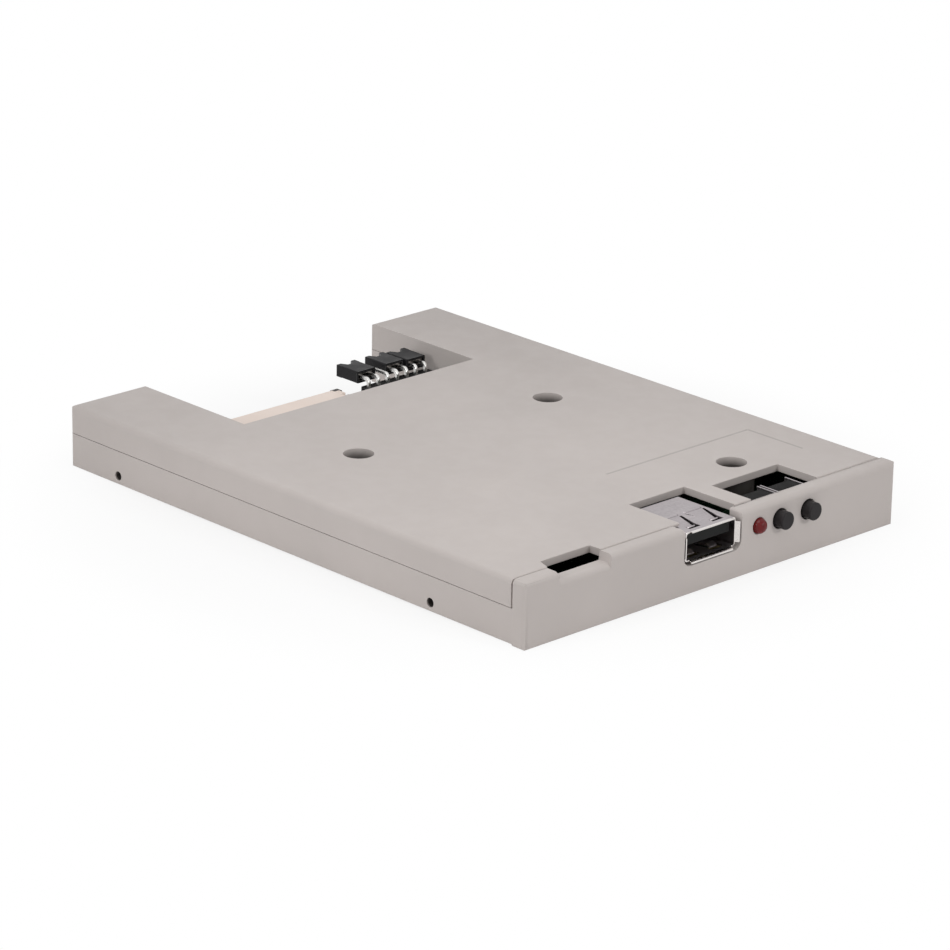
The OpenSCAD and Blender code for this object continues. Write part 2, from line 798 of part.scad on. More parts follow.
module lamp_leads() {
    color(steel_colour) in_frame() for (s = [-1, 1]) translate([lamp_x + s * lead_pitch / 2, 0, 0]) {
        block(about(0, lead_w), [lamp_back_y, lead_bend_y + lead_w / 2], about(button_z, lead_w));
        block(about(0, lead_w), about(lead_bend_y, lead_w), [pin_low_z, button_z + lead_w / 2]);
    }
}

module switch_housing(x) {
    color(black_colour) in_frame() difference() {
        block(about(x, switch_w), [switch_y, switch_y + switch_d], [board_z, board_z + switch_h]);
        translate([x, 0, button_z]) {
            bore_y(switch_y - over, switch_y + switch_d / 2, button_d + 2 * seat_gap);
            bore_y(switch_y + chamber_y, switch_y + chamber_y + chamber_depth, chamber_d);
        }
    }
}

module switch_housing_left() { switch_housing(button_places[0]); }
module switch_housing_right() { switch_housing(button_places[1]); }

// Folded steel bracket: a front plate with a hole, two cheeks and a leg under each cheek
module switch_bracket(x) {
    inner = switch_w / 2 + bracket_gap;
    outer = inner + bracket_t;
    color(steel_colour) in_frame() translate([x, 0, 0]) {
        difference() {
            block([-outer, outer], [bracket_y, bracket_y + bracket_t], [board_z + pass_gap, bracket_top_z]);
            translate([0, 0, button_z]) bore_y(bracket_y - over, bracket_y + over, button_d + 2 * button_gap);
        }
        for (s = [-1, 1]) {
            block(about(s * (inner + outer) / 2, bracket_t), [bracket_y, bracket_y + bracket_d],
                [board_z + seat_gap, bracket_top_z]);
            block(about(s * (inner + outer) / 2, bracket_t), about(bracket_leg_y, bracket_leg_w),
                [pin_low_z, board_z + seat_gap + bond]);
        }
    }
}

module switch_bracket_left() { switch_bracket(button_places[0]); }
module switch_bracket_right() { switch_bracket(button_places[1]); }

// Shallow snap dome behind the plunger, its crown towards the button
module switch_dome(x) {
    crown_y = switch_y + chamber_y + flange_gap + flange_t + button_travel + seat_gap;
    color(steel_colour) in_frame() translate([x, crown_y, button_z]) intersection() {
        difference() {
            translate([0, dome_r, 0]) sphere(r = dome_r);
            translate([0, dome_r, 0]) sphere(r = dome_r - dome_t);
        }
        bore_y(-over, dome_d / 2, dome_d);
    }
}

module switch_dome_left() { switch_dome(button_places[0]); }
module switch_dome_right() { switch_dome(button_places[1]); }

module switch_pins() {
    back = switch_y + switch_d;
    color(steel_colour) in_frame() for (x = button_places, s = [-1, 1])
        block(about(x + s * switch_w / 4, switch_pin_w), [back, back + switch_pin_t],
            [pin_low_z, board_z + switch_h / 3]);
}

// Plunger with a rounded front edge and a flange that the housing traps
module button(x) {
    flange_y = switch_y + chamber_y + flange_gap;
    front = -button_proud;
    color(black_colour) in_frame() translate([x, 0, button_z]) rotate([-90, 0, 0]) rotate_extrude() {
        difference() {
            translate([0, front]) square([button_d / 2, flange_y + bond - front]);
            corner_cut([button_d / 2, front], [-1, 1], button_edge_r);
        }
        translate([0, flange_y]) square([flange_d / 2, flange_t]);
    }
}

module button_left() { button(button_places[0]); }
module button_right() { button(button_places[1]); }

module ribbon_housing() {
    back_top = board_z + ribbon_h;
    key = ribbon_h / 5;
    color(cream_colour) in_frame() {
        difference() {
            along_x(ribbon_mid_x - ribbon_w / 2, ribbon_mid_x + ribbon_w / 2)
                round_rect([ribbon_front_y, ribbon_rear_y], [board_z, back_top], [0, 0, 0, key]);
            block(about(ribbon_mid_x, mouth_w), [ribbon_rear_y - mouth_d, ribbon_rear_y + over],
                [mouth_z, mouth_z + mouth_h]);
        }
        for (s = [-1, 1])
            block(about(ribbon_mid_x + s * (ribbon_w / 2 + wing_w / 2 - bond / 2), wing_w + bond),
                [wing_y, wing_y + wing_d], [board_z, back_top]);
    }
}

module ribbon_slider() {
    slide_top = mouth_z + mouth_h - slide_gap;
    ear_y = wing_y + wing_d + slide_gap;
    rear = ribbon_rear_y + slide_gap + bar_d;
    color([0.25, 0.22, 0.21]) in_frame() {
        block(about(ribbon_mid_x, mouth_w - 2 * slide_gap),
            [ribbon_rear_y - mouth_d + slide_gap * 5, ribbon_rear_y + slide_gap + bond],
            [slide_top - slide_t, slide_top]);
        block(about(ribbon_mid_x, ribbon_w + 2 * ear_w), [ribbon_rear_y + slide_gap, rear],
            [slide_top - slide_t, bar_top_z]);
        for (s = [-1, 1])
            block(about(ribbon_mid_x + s * (ribbon_w / 2 + slide_gap + (ear_w - slide_gap) / 2), ear_w - slide_gap),
                [ear_y, rear], [slide_top - slide_t, board_z + ear_h]);
    }
}

module ribbon_contacts() {
    color(gold_colour) in_frame() for (i = [0 : ribbon_count - 1]) {
        x = ribbon_mid_x - ribbon_span / 2 + i * ribbon_pitch;
        block(about(x, blade_w), [ribbon_rear_y - mouth_d, ribbon_rear_y - 2 * slide_gap],
            [mouth_z, mouth_z + blade_t]);
        block(about(x, blade_w), [ribbon_front_y - foot_pad_d, ribbon_front_y],
            [board_z, board_z + foot_pad_t]);
    }
}

module ribbon_solder_tabs() {
    color(steel_colour) in_frame() for (s = [-1, 1])
        difference() {
            block(about(ribbon_mid_x + s * (ribbon_w + tab_w) / 2, tab_w), [tab_y, tab_y + tab_d],
                [board_z, board_z + tab_h]);
            block(about(ribbon_mid_x + s * (ribbon_w / 2 + tab_w), tab_w), [tab_y - over, tab_y + tab_d + over],
                [board_z + foot_pad_t * 2, board_z + tab_h - foot_pad_t * 2]);
        }
}

// One cell of the header's base for each pin, with bevelled corners
module header_base() {
    b = base_bevel;
    w = pin_pitch;
    color(black_colour) in_frame() difference() {
        for (i = [0 : pin_count - 1])
            translate([pin_x + (i - 0.5) * pin_pitch, base_y, 0]) along_z(board_z, board_z + base_h)
                polygon([[b, 0], [w - b, 0], [w, b], [w, base_d - b], [w - b, base_d], [b, base_d],
                    [0, base_d - b], [0, b]]);
        for (i = [0 : pin_count - 1])
            block(about(pin_x + i * pin_pitch, pin_w + seat_gap / 2), about(pin_y, pin_w + seat_gap / 2),
                [board_z - over, board_z + base_h + over]);
    }
}

module header_pins() {
    color(steel_colour) in_frame() for (i = [0 : pin_count - 1]) translate([pin_x + i * pin_pitch, 0, 0]) {
        block(about(0, pin_w), about(pin_y, pin_w), [pin_low_z, pin_axis_z - bend_r]);
        translate([-pin_w / 2, pin_y + bend_r, pin_axis_z - bend_r]) rotate([90, 0, 90])
            rotate([0, 0, 90]) rotate_extrude(angle = 90)
                translate([bend_r - pin_w / 2, 0]) square(pin_w);
        block(about(0, pin_w), [pin_y + bend_r, pin_tip_y], about(pin_axis_z, pin_w));
    }
}

// Jumper cap over two neighbouring pins: a hollow block with two ears behind it
module jumper_cap(k) {
    x = pin_x + cap_places[k] * pin_pitch;
    y = cap_y + cap_nudges[k];
    r = cap_edge_r;
    color(black_colour) in_frame() translate([x, y, pin_axis_z]) difference() {
        union() {
            along_y(0, cap_d) round_rect(about(0, cap_w), about(0, cap_h), [r, r, r, r]);
            for (s = [-1, 1])
                along_z(-cap_h / 2, cap_h / 2) polygon([
                    [s * cap_w / 2, cap_d - bond], [s * cap_w / 2, cap_d + ear_d],
                    [s * (cap_w / 2 - ear_tip_w), cap_d + ear_d], [s * (cap_w / 2 - ear_root_w), cap_d],
                    [s * (cap_w / 2 - ear_root_w), cap_d - bond]]);
        }
        block(about(0, cap_hole_w), [-over, cap_hole_d], about(0, cap_hole_h));
    }
}

module jumper_cap_a() { jumper_cap(0); }
module jumper_cap_b() { jumper_cap(1); }
module jumper_cap_c() { jumper_cap(2); }

// Folded strip that joins the two pins inside a cap
module jumper_clip(k) {
    x = pin_x + cap_places[k] * pin_pitch;
    y = cap_y + cap_nudges[k] + clip_inset;
    leaf = pin_w / 2 + clip_gap;
    color(gold_colour) in_frame() translate([x, y, pin_axis_z]) {
        for (s = [-1, 1])
            block(about(0, clip_w), [0, clip_d], about(s * (leaf + clip_t / 2), clip_t));
        block(about(0, clip_w), [clip_d - clip_t, clip_d], about(0, 2 * leaf + clip_t));
    }
}

module jumper_clip_a() { jumper_clip(0); }
module jumper_clip_b() { jumper_clip(1); }
module jumper_clip_c() { jumper_clip(2); }

function on_board(shares) = [shares[0] * body_w, area_y + shares[1] * area_d, board_z];
function in_rear_row(share) = [share * body_w, screw_y + tube_d / 2 + part_gap + logic_d / 2, board_z];

module controller_chip() {
    b = chip_w / 10;
    color(black_colour) in_frame() translate(on_board(controller_shares))
        along_z(chip_stand, chip_stand + chip_h)
            polygon([[-chip_w / 2, -chip_w / 2], [chip_w / 2, -chip_w / 2], [chip_w / 2, chip_w / 2],
                [-chip_w / 2 + b, chip_w / 2], [-chip_w / 2, chip_w / 2 - b]]);
}

// Gull-wing pin that leaves a package at half its height and ends flat on the board
module gull_pin(start, body_h, w) {
    mid_z = chip_stand + body_h / 2;
    block([start, start + chip_pin_out / 2], about(0, w), [mid_z, mid_z + chip_pin_t]);
    block([start + chip_pin_out / 2 - chip_pin_t, start + chip_pin_out / 2], about(0, w), [0, mid_z + chip_pin_t]);
    block([start + chip_pin_out / 2 - chip_pin_t, start + chip_pin_out], about(0, w), [0, chip_pin_t]);
}

module controller_pins() {
    first = (chip_pin_count - 1) * chip_pin_pitch / 2;
    color(steel_colour) in_frame() translate(on_board(controller_shares))
        for (a = [0 : 90 : 270], i = [0 : chip_pin_count - 1])
            rotate([0, 0, a]) translate([0, i * chip_pin_pitch - first, 0])
                gull_pin(chip_w / 2, chip_h, chip_pin_w);
}

module logic_chips() {
    color(black_colour) in_frame() for (s = logic_row_shares) translate(in_rear_row(s))
        difference() {
            block(about(0, logic_w), about(0, logic_d), [chip_stand, chip_stand + logic_h]);
            translate([0, logic_d / 2, chip_stand + logic_h - chip_pin_t]) cylinder(h = over, d = logic_w / 4);
        }
}

module logic_chip_pins() {
    first = (logic_pin_count - 1) * logic_pin_pitch / 2;
    color(steel_colour) in_frame() for (s = logic_row_shares) translate(in_rear_row(s))
        for (a = [0, 180], i = [0 : logic_pin_count - 1])
            rotate([0, 0, a]) translate([0, i * logic_pin_pitch - first, 0])
                gull_pin(logic_w / 2, logic_h, logic_pin_w);
}

module crystal() {
    r = crystal_d / 2;
    brim = crystal_base_h;
    color(steel_colour) in_frame() translate(on_board(crystal_shares)) {
        along_z(0, crystal_base_h)
            round_rect(about(0, crystal_w), about(0, crystal_d), [r, r, r, r]);
        along_z(crystal_base_h - bond, crystal_h)
            round_rect(about(0, crystal_w - 2 * brim), about(0, crystal_d - 2 * brim),
                [r - brim, r - brim, r - brim, r - brim]);
    }
}

module voltage_regulator() {
    color(black_colour) in_frame() translate(on_board(regulator_shares)) {
        block(about(0, regulator_w), about(0, regulator_d), [0, regulator_h]);
        block(about(0, regulator_tab_w), [0, regulator_d / 2 + regulator_out], [0, chip_pin_t]);
        for (i = [-1 : 1])
            block(about(i * regulator_pitch, regulator_leg_w), [-regulator_d / 2 - regulator_out, 0],
                [0, chip_pin_t]);
    }
}

module can_capacitors() {
    color(steel_colour) in_frame() for (s = can_shares) translate(on_board(s)) {
        along_z(0, can_base_h)
            round_rect(about(0, can_d + chip_pin_t), about(0, can_d + chip_pin_t), [0, 0, can_base_h, can_base_h]);
        translate([0, 0, can_base_h - bond]) cylinder(h = can_neck_t + 2 * bond, d = can_neck_d);
        translate([0, 0, can_base_h + can_neck_t]) cylinder(h = can_h - can_base_h - can_neck_t, d = can_d);
    }
}

// Grid of small chips in rows
module small_parts(grid) {
    for (i = [0 : grid[0] - 1], j = [0 : grid[1] - 1])
        translate([(i - (grid[0] - 1) / 2) * small_pitch, (j - (grid[1] - 1) / 2) * row_pitch, 0])
            block(about(0, small_w), about(0, small_l), [0, small_h]);
}

module chip_capacitors() {
    color([0.72, 0.6, 0.45]) in_frame() translate(in_rear_row(capacitor_row_share))
        small_parts(capacitor_grid);
}

module chip_resistors() {
    color(black_colour) in_frame() translate(on_board(resistor_shares))
        small_parts(resistor_grid);
}

bottom_tray();
top_cover();
cover_screws();
main_board();
socket_shell();
socket_tongue();
socket_contacts();
lamp_lens();
lamp_leads();
switch_housing_left();
switch_housing_right();
switch_bracket_left();
switch_bracket_right();
switch_dome_left();
switch_dome_right();
switch_pins();
button_left();
button_right();
ribbon_housing();
ribbon_slider();
ribbon_contacts();
ribbon_solder_tabs();
header_base();
header_pins();
jumper_cap_a();
jumper_cap_b();
jumper_cap_c();
jumper_clip_a();
jumper_clip_b();
jumper_clip_c();
controller_chip();
controller_pins();
logic_chips();
logic_chip_pins();
crystal();
voltage_regulator();
can_capacitors();
chip_capacitors();
chip_resistors();
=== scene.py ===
"""Looks of a slim floppy drive emulator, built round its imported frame.

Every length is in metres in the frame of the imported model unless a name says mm.
"""

import json
import logging
import math
from dataclasses import dataclass, field
from enum import Enum
from typing import Callable, Optional, Union

import bmesh
import bpy
from mathutils import Matrix, Vector

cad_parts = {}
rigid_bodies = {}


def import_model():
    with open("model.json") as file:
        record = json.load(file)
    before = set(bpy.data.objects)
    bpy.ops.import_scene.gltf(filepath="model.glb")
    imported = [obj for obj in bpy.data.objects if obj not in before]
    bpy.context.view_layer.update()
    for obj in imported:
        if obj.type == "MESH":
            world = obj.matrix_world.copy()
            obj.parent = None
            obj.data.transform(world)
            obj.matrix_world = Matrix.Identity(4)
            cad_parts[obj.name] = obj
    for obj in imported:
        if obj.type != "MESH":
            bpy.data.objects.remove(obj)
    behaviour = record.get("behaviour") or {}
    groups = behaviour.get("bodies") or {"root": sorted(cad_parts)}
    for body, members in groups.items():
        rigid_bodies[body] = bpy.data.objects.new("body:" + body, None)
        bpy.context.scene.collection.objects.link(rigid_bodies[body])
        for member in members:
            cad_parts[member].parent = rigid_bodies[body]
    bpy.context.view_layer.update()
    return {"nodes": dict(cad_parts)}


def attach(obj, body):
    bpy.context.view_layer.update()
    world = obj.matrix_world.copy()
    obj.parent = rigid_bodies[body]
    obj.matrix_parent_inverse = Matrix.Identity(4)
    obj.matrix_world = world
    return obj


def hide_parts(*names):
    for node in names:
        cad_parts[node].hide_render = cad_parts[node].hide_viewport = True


LOG = logging.getLogger("drive_looks")

MM = 0.001
FRONT_Y_MM = -61.775  # where the bezel's front face stands in the frame
DRIVE = "drive"  # the body that nearly every piece rides on

WELD = 2e-6  # corners of a node's triangles nearer than this are one
COPLANAR = math.radians(1.2)  # faces that turn less than this are joined
SHARP = math.radians(35)  # edges that turn more than this are rounded
CREASE = math.radians(50)  # edges that turn more than this are shaded sharp
SHORTEST_EDGE = 1.6  # edges shorter than this many rounding widths stay as they are
FACE_AREA_WEIGHT = 70  # how much the large faces rule the shading near the small ones
ROUND_SEGMENTS = 2  # strips across a rounded edge
TURN_STEPS = 24  # faces round a turned shape
POLE_WELD = 1e-7  # corners of a turned shape nearer than this are one
EDGE_SHARE = "edge_share"  # face attribute, 1 on the strips that round an edge

NODES: dict[str, bpy.types.Object] = {}

Socket = bpy.types.NodeSocket
Number = Union[float, Socket]
Triple = tuple[float, float, float]
Tone = Triple
Pairs = tuple[tuple[float, float], ...]
UP = Vector((0, 0, 1))
DOWN = Vector((0, 0, -1))
REARWARD = Vector((0, 1, 0))


def place(x_mm: float, y_mm: float, z_mm: float) -> Vector:
    """Turns a point measured from the bezel's front face into the frame.

    Args:
        x_mm: across, from the middle of the drive.
        y_mm: backwards from the bezel's front face.
        z_mm: up from the underside.

    Returns:
        The point in metres in the frame.
    """
    return Vector((x_mm, y_mm + FRONT_Y_MM, z_mm)) * MM


def tone(red: float, green: float, blue: float) -> Tone:
    """Turns a colour on the usual 0 to 255 screen scale into linear light.

    Args:
        red: screen value of red.
        green: screen value of green.
        blue: screen value of blue.

    Returns:
        The three linear values.
    """
    return tuple(
        v / 12.92 if v <= 0.04045 else ((v + 0.055) / 1.055) ** 2.4
        for v in (red / 255, green / 255, blue / 255)
    )


def shaded(colour: Tone, factor: float) -> Tone:
    """A colour times a factor, no brighter than white."""
    return tuple(min(1.0, v * factor) for v in colour)


def linked(name: str, data: bpy.types.ID) -> bpy.types.Object:
    """Makes an object and puts it in the scene.

    Args:
        name: the object's name.
        data: its mesh, light or camera.

    Returns:
        The object.
    """
    made = bpy.data.objects.new(name, data)
    bpy.context.scene.collection.objects.link(made)
    return made


class Axis(Enum):
    """The direction that a metal was rolled or drawn in."""

    X = 0
    Y = 1
    Z = 2


class NodeSheet:
    """Places shader nodes in one tree and wires them together."""

    PER_ROW = 14
    COLUMN = 190
    ROW = 230

    def __init__(self, tree: bpy.types.NodeTree) -> None:
        """Takes a node tree and empties it.

        Args:
            tree: the node tree that the nodes go into.
        """
        tree.nodes.clear()
        self.tree = tree
        self.count = 0

    def add(self, kind: str, **settings: object) -> bpy.types.Node:
        """Places one node.

        Args:
            kind: the node's type name.
            settings: properties to set on it.

        Returns:
            The new node.
        """
        node = self.tree.nodes.new(kind)
        for key, value in settings.items():
            setattr(node, key, value)
        row, column = divmod(self.count, self.PER_ROW)
        node.location = (self.COLUMN * column, -self.ROW * row)
        self.count += 1
        return node

    def feed(self, target: Socket, value: Union[Number, Tone]) -> None:
        """Sets a socket to a number or colour, or wires another socket into it.

        Args:
            target: the socket that is fed.
            value: what it gets.
        """
        if isinstance(value, bpy.types.NodeSocket):
            self.tree.links.new(value, target)
        elif isinstance(value, tuple) and target.type == "RGBA":
            target.default_value = (*value, 1.0)
        else:
            target.default_value = value

    def math(
        self, operation: str, first: Number, second: Number = 0.0, clamp: bool = False
    ) -> Socket:
        """Adds a Math node.

        Args:
            operation: what the node does.
            first: its first value.
            second: its second value.
            clamp: whether the result is kept from 0 to 1.

        Returns:
            The result.
        """
        node = self.add("ShaderNodeMath", operation=operation, use_clamp=clamp)
        self.feed(node.inputs[0], first)
        self.feed(node.inputs[1], second)
        return node.outputs[0]

    def times(self, first: Number, second: Number) -> Socket:
        """The product of two values."""
        return self.math("MULTIPLY", first, second)

    def plus(self, first: Number, second: Number, clamp: bool = False) -> Socket:
        """The sum of two values."""
        return self.math("ADD", first, second, clamp)

    def minus(self, first: Number, second: Number, clamp: bool = False) -> Socket:
        """The first value less the second."""
        return self.math("SUBTRACT", first, second, clamp)

    def larger(self, first: Number, second: Number) -> Socket:
        """The larger of two values."""
        return self.math("MAXIMUM", first, second)

    def below(self, first: Number, second: Number) -> Socket:
        """1 where the first value is less than the second."""
        return self.math("LESS_THAN", first, second)

    def above(self, first: Number, second: Number) -> Socket:
        """1 where the first value is more than the second."""
        return self.math("GREATER_THAN", first, second)

    def size(self, value: Number) -> Socket:
        """A value without its sign."""
        return self.math("ABSOLUTE", value)

    def gap(self, first: Number, second: Number) -> Socket:
        """How far two values lie apart."""
        return self.size(self.minus(first, second))

    def spread(
        self, value: Number, low: float, high: float, to_low: float = 0.0, to_high: float = 1.0
    ) -> Socket:
        """Maps a range of a value smoothly onto another range.

        Args:
            value: the value to map.
            low: start of its range.
            high: end of its range.
            to_low: result at the start.
            to_high: result at the end.

        Returns:
            The mapped value.
        """
        node = self.add("ShaderNodeMapRange", interpolation_type="SMOOTHSTEP")
        for index, part in enumerate((value, low, high, to_low, to_high)):
            self.feed(node.inputs[index], part)
        return node.outputs[0]

    def blend(self, share: Number, low: Union[Socket, Tone], high: Union[Socket, Tone]) -> Socket:
        """Mixes two colours.

        Args:
            share: how much of the second colour.
            low: first colour.
            high: second colour.

        Returns:
            The mixed colour.
        """
        node = self.add("ShaderNodeMix", data_type="RGBA")
        factor, first_colour, second_colour, mixed = 0, 6, 7, 2
        self.feed(node.inputs[factor], share)
        self.feed(node.inputs[first_colour], low)
        self.feed(node.inputs[second_colour], high)
        return node.outputs[mixed]

    def coordinates(self) -> Socket:
        """Object coordinates in metres."""
        return self.add("ShaderNodeTexCoord").outputs["Object"]

    def mapped(self, stretch: Triple, turn: float = 0.0) -> Socket:
        """Object coordinates, stretched along each axis and turned.

        Args:
            stretch: factor along each axis.
            turn: turn round the upright axis.

        Returns:
            The coordinates.
        """
        node = self.add("ShaderNodeMapping")
        self.feed(node.inputs["Vector"], self.coordinates())
        node.inputs["Rotation"].default_value = (0.0, 0.0, turn)
        node.inputs["Scale"].default_value = stretch
        return node.outputs["Vector"]

    def facing(self) -> Socket:
        """The way that the surface faces."""
        return self.add("ShaderNodeTexCoord").outputs["Normal"]

    def parted(self, vector: Socket) -> bpy.types.bpy_prop_collection:
        """Parts a vector.

        Args:
            vector: the vector.

        Returns:
            Its X, Y and Z by name.
        """
        node = self.add("ShaderNodeSeparateXYZ")
        self.feed(node.inputs[0], vector)
        return node.outputs

    def noise(
        self, where: Socket, scale: Number, detail: float = 2.0, roughness: float = 0.5
    ) -> Socket:
        """Adds a noise of so many features per metre.

        Args:
            where: the coordinates.
            scale: features per metre.
            detail: octaves.
            roughness: weight of the finer octaves.

        Returns:
            The noise's value, about 0.5 on average.
        """
        node = self.add("ShaderNodeTexNoise")
        for label, value in (
            ("Vector", where), ("Scale", scale), ("Detail", detail), ("Roughness", roughness)
        ):
            self.feed(node.inputs[label], value)
        return node.outputs["Fac"]

    def cells(self, where: Socket, scale: Number, feature: str = "F1") -> Socket:
        """Adds a cell pattern.

        Args:
            where: the coordinates.
            scale: cells per metre.
            feature: what is measured in the cells.

        Returns:
            The distance in it.
        """
        node = self.add("ShaderNodeTexVoronoi", feature=feature)
        self.feed(node.inputs["Vector"], where)
        self.feed(node.inputs["Scale"], scale)
        return node.outputs["Distance"]

    def group(self, group: bpy.types.NodeTree, **values: float) -> bpy.types.bpy_prop_collection:
        """Places a node group with its own values.

        Args:
            group: the group.
            values: its inputs by name.

        Returns:
            The group's outputs by name.
        """
        node = self.add("ShaderNodeGroup", node_tree=group)
        for label, value in values.items():
            self.feed(node.inputs[label], value)
        return node.outputs


Marks = Callable[[NodeSheet], tuple[Socket, Socket]]
# painted shade that a finish lays into a piece's hollows
PaintedShade = Callable[[NodeSheet], Socket]


class EffectLibrary:
    """The effects that several finishes share, each built once as a node group."""

    def __init__(self) -> None:
        """Builds every group."""
        self.grain = self._grain()
        self.patches = self._patches()
        self.edges = self._edges()
        self.settled = self._settled()
        self.scratches = self._scratches()

    def _open(
        self, name: str, inputs: dict[str, float], outputs: tuple[str, ...]
    ) -> tuple[NodeSheet, dict[str, Socket], dict[str, Socket]]:
        """Starts a node group.

        Args:
            name: the group's name.
            inputs: input names with their default values.
            outputs: output names.

        Returns:
            The sheet, the given values by name and the results to feed by name.
        """
        tree = bpy.data.node_groups.new(name, "ShaderNodeTree")
        made = tree.interface.new_socket
        for label, value in inputs.items():
            made(name=label, in_out="INPUT", socket_type="NodeSocketFloat").default_value = value
        for label in outputs:
            made(name=label, in_out="OUTPUT", socket_type="NodeSocketFloat")
        sheet = NodeSheet(tree)
        source = sheet.add("NodeGroupInput").outputs
        sink = sheet.add("NodeGroupOutput").inputs
        return sheet, {n: source[n] for n in inputs}, {n: sink[n] for n in outputs}

    def _grain(self) -> bpy.types.NodeTree:
        """Spark-eroded mould texture: rounded pits over a finer tooth.

        Returns:
            The group, with the grain's height and the tooth alone.
        """
        sheet, given, out = self._open("mould_grain", {"Density": 5000.0}, ("Height", "Tooth"))
        where = sheet.coordinates()
        pits = sheet.cells(where, given["Density"], "SMOOTH_F1")
        tooth = sheet.noise(where, sheet.times(given["Density"], 1.9), 3.0, 0.6)
        sheet.feed(out["Height"], sheet.plus(sheet.times(pits, 0.7), sheet.times(tooth, 0.5)))
        sheet.feed(out["Tooth"], tooth)
        return sheet.tree

    def _patches(self) -> bpy.types.NodeTree:
        """Broad uneven areas, as flow in the mould and handling leave them.

        Returns:
            The group, with broad and small patches.
        """
        sheet, given, out = self._open("uneven_patches", {"Density": 60.0}, ("Broad", "Small"))
        where = sheet.coordinates()
        broad = sheet.noise(where, given["Density"])
        small = sheet.noise(where, sheet.times(given["Density"], 9.0), 3.0, 0.6)
        sheet.feed(out["Broad"], sheet.spread(broad, 0.3, 0.7))
        sheet.feed(out["Small"], sheet.spread(small, 0.3, 0.7))
        return sheet.tree

    def _edges(self) -> bpy.types.NodeTree:
        """The narrow strips on a piece's rounded edges, broken up by small wear.

        Returns:
            The group, with the whole strips and their worn parts.
        """
        sheet, given, out = self._open(
            "edge_strips", {"Density": 700.0, "Wear": 0.6}, ("Strip", "Worn")
        )
        strip = sheet.add("ShaderNodeAttribute", attribute_name=EDGE_SHARE).outputs["Fac"]
        spots = sheet.noise(sheet.coordinates(), given["Density"], 3.0, 0.6)
        worn = sheet.times(sheet.spread(spots, 0.42, 0.62), given["Wear"])
        sheet.feed(out["Strip"], strip)
        sheet.feed(out["Worn"], sheet.times(strip, worn))
        return sheet.tree

    def _settled(self) -> bpy.types.NodeTree:
        """Fine dust that lies on faces that look up.

        Returns:
            The group, with the dust's share.
        """
        sheet, given, out = self._open("settled_dust", {"Density": 900.0}, ("Dust",))
        up = sheet.spread(sheet.parted(sheet.facing())["Z"], 0.55, 0.95)
        where = sheet.coordinates()
        specks = sheet.spread(sheet.cells(where, given["Density"]), 0.12, 0.05)
        cloud = sheet.noise(where, sheet.times(given["Density"], 0.12), 4.0, 0.65)
        film = sheet.spread(cloud, 0.45, 0.8)
        both = sheet.plus(sheet.times(specks, 0.5), sheet.times(film, 0.5))
        sheet.feed(out["Dust"], sheet.times(up, both))
        return sheet.tree

    def _scratches(self) -> bpy.types.NodeTree:
        """Hairline marks in two crossing directions.

        Returns:
            The group, with the marks' share.
        """
        sheet, given, out = self._open("hair_scratches", {"Density": 260.0}, ("Line",))
        total: Number = 0.0
        for turn, stretch in ((0.5, (1.0, 0.06, 1.0)), (2.2, (0.05, 1.0, 1.0))):
            where = sheet.mapped(stretch, turn)
            value = sheet.noise(where, sheet.times(given["Density"], 6.0), 1.0, 0.4)
            total = sheet.plus(total, sheet.spread(value, 0.72, 0.76), clamp=True)
        sheet.feed(out["Line"], total)
        return sheet.tree


def new_material(name: str) -> tuple[bpy.types.Material, NodeSheet, bpy.types.Node]:
    """Starts a material with one shader.

    Args:
        name: the material's name.

    Returns:
        The material, its node sheet and its shader.
    """
    material = bpy.data.materials.new(name)
    material.use_nodes = True
    sheet = NodeSheet(material.node_tree)
    shader = sheet.add("ShaderNodeBsdfPrincipled")
    out = sheet.add("ShaderNodeOutputMaterial")
    sheet.feed(out.inputs["Surface"], shader.outputs["BSDF"])
    return material, sheet, shader


def bump(sheet: NodeSheet, shader: bpy.types.Node, height: Socket, depth_mm: float) -> None:
    """Feeds a height into a shader's normal.

    Args:
        sheet: the material's sheet.
        shader: its shader.
        height: the height, from 0 to 1.
        depth_mm: how deep 1 is.
    """
    node = sheet.add("ShaderNodeBump")
    node.inputs["Strength"].default_value = 1.0
    node.inputs["Distance"].default_value = depth_mm * MM
    sheet.feed(node.inputs["Height"], height)
    sheet.feed(shader.inputs["Normal"], node.outputs["Normal"])


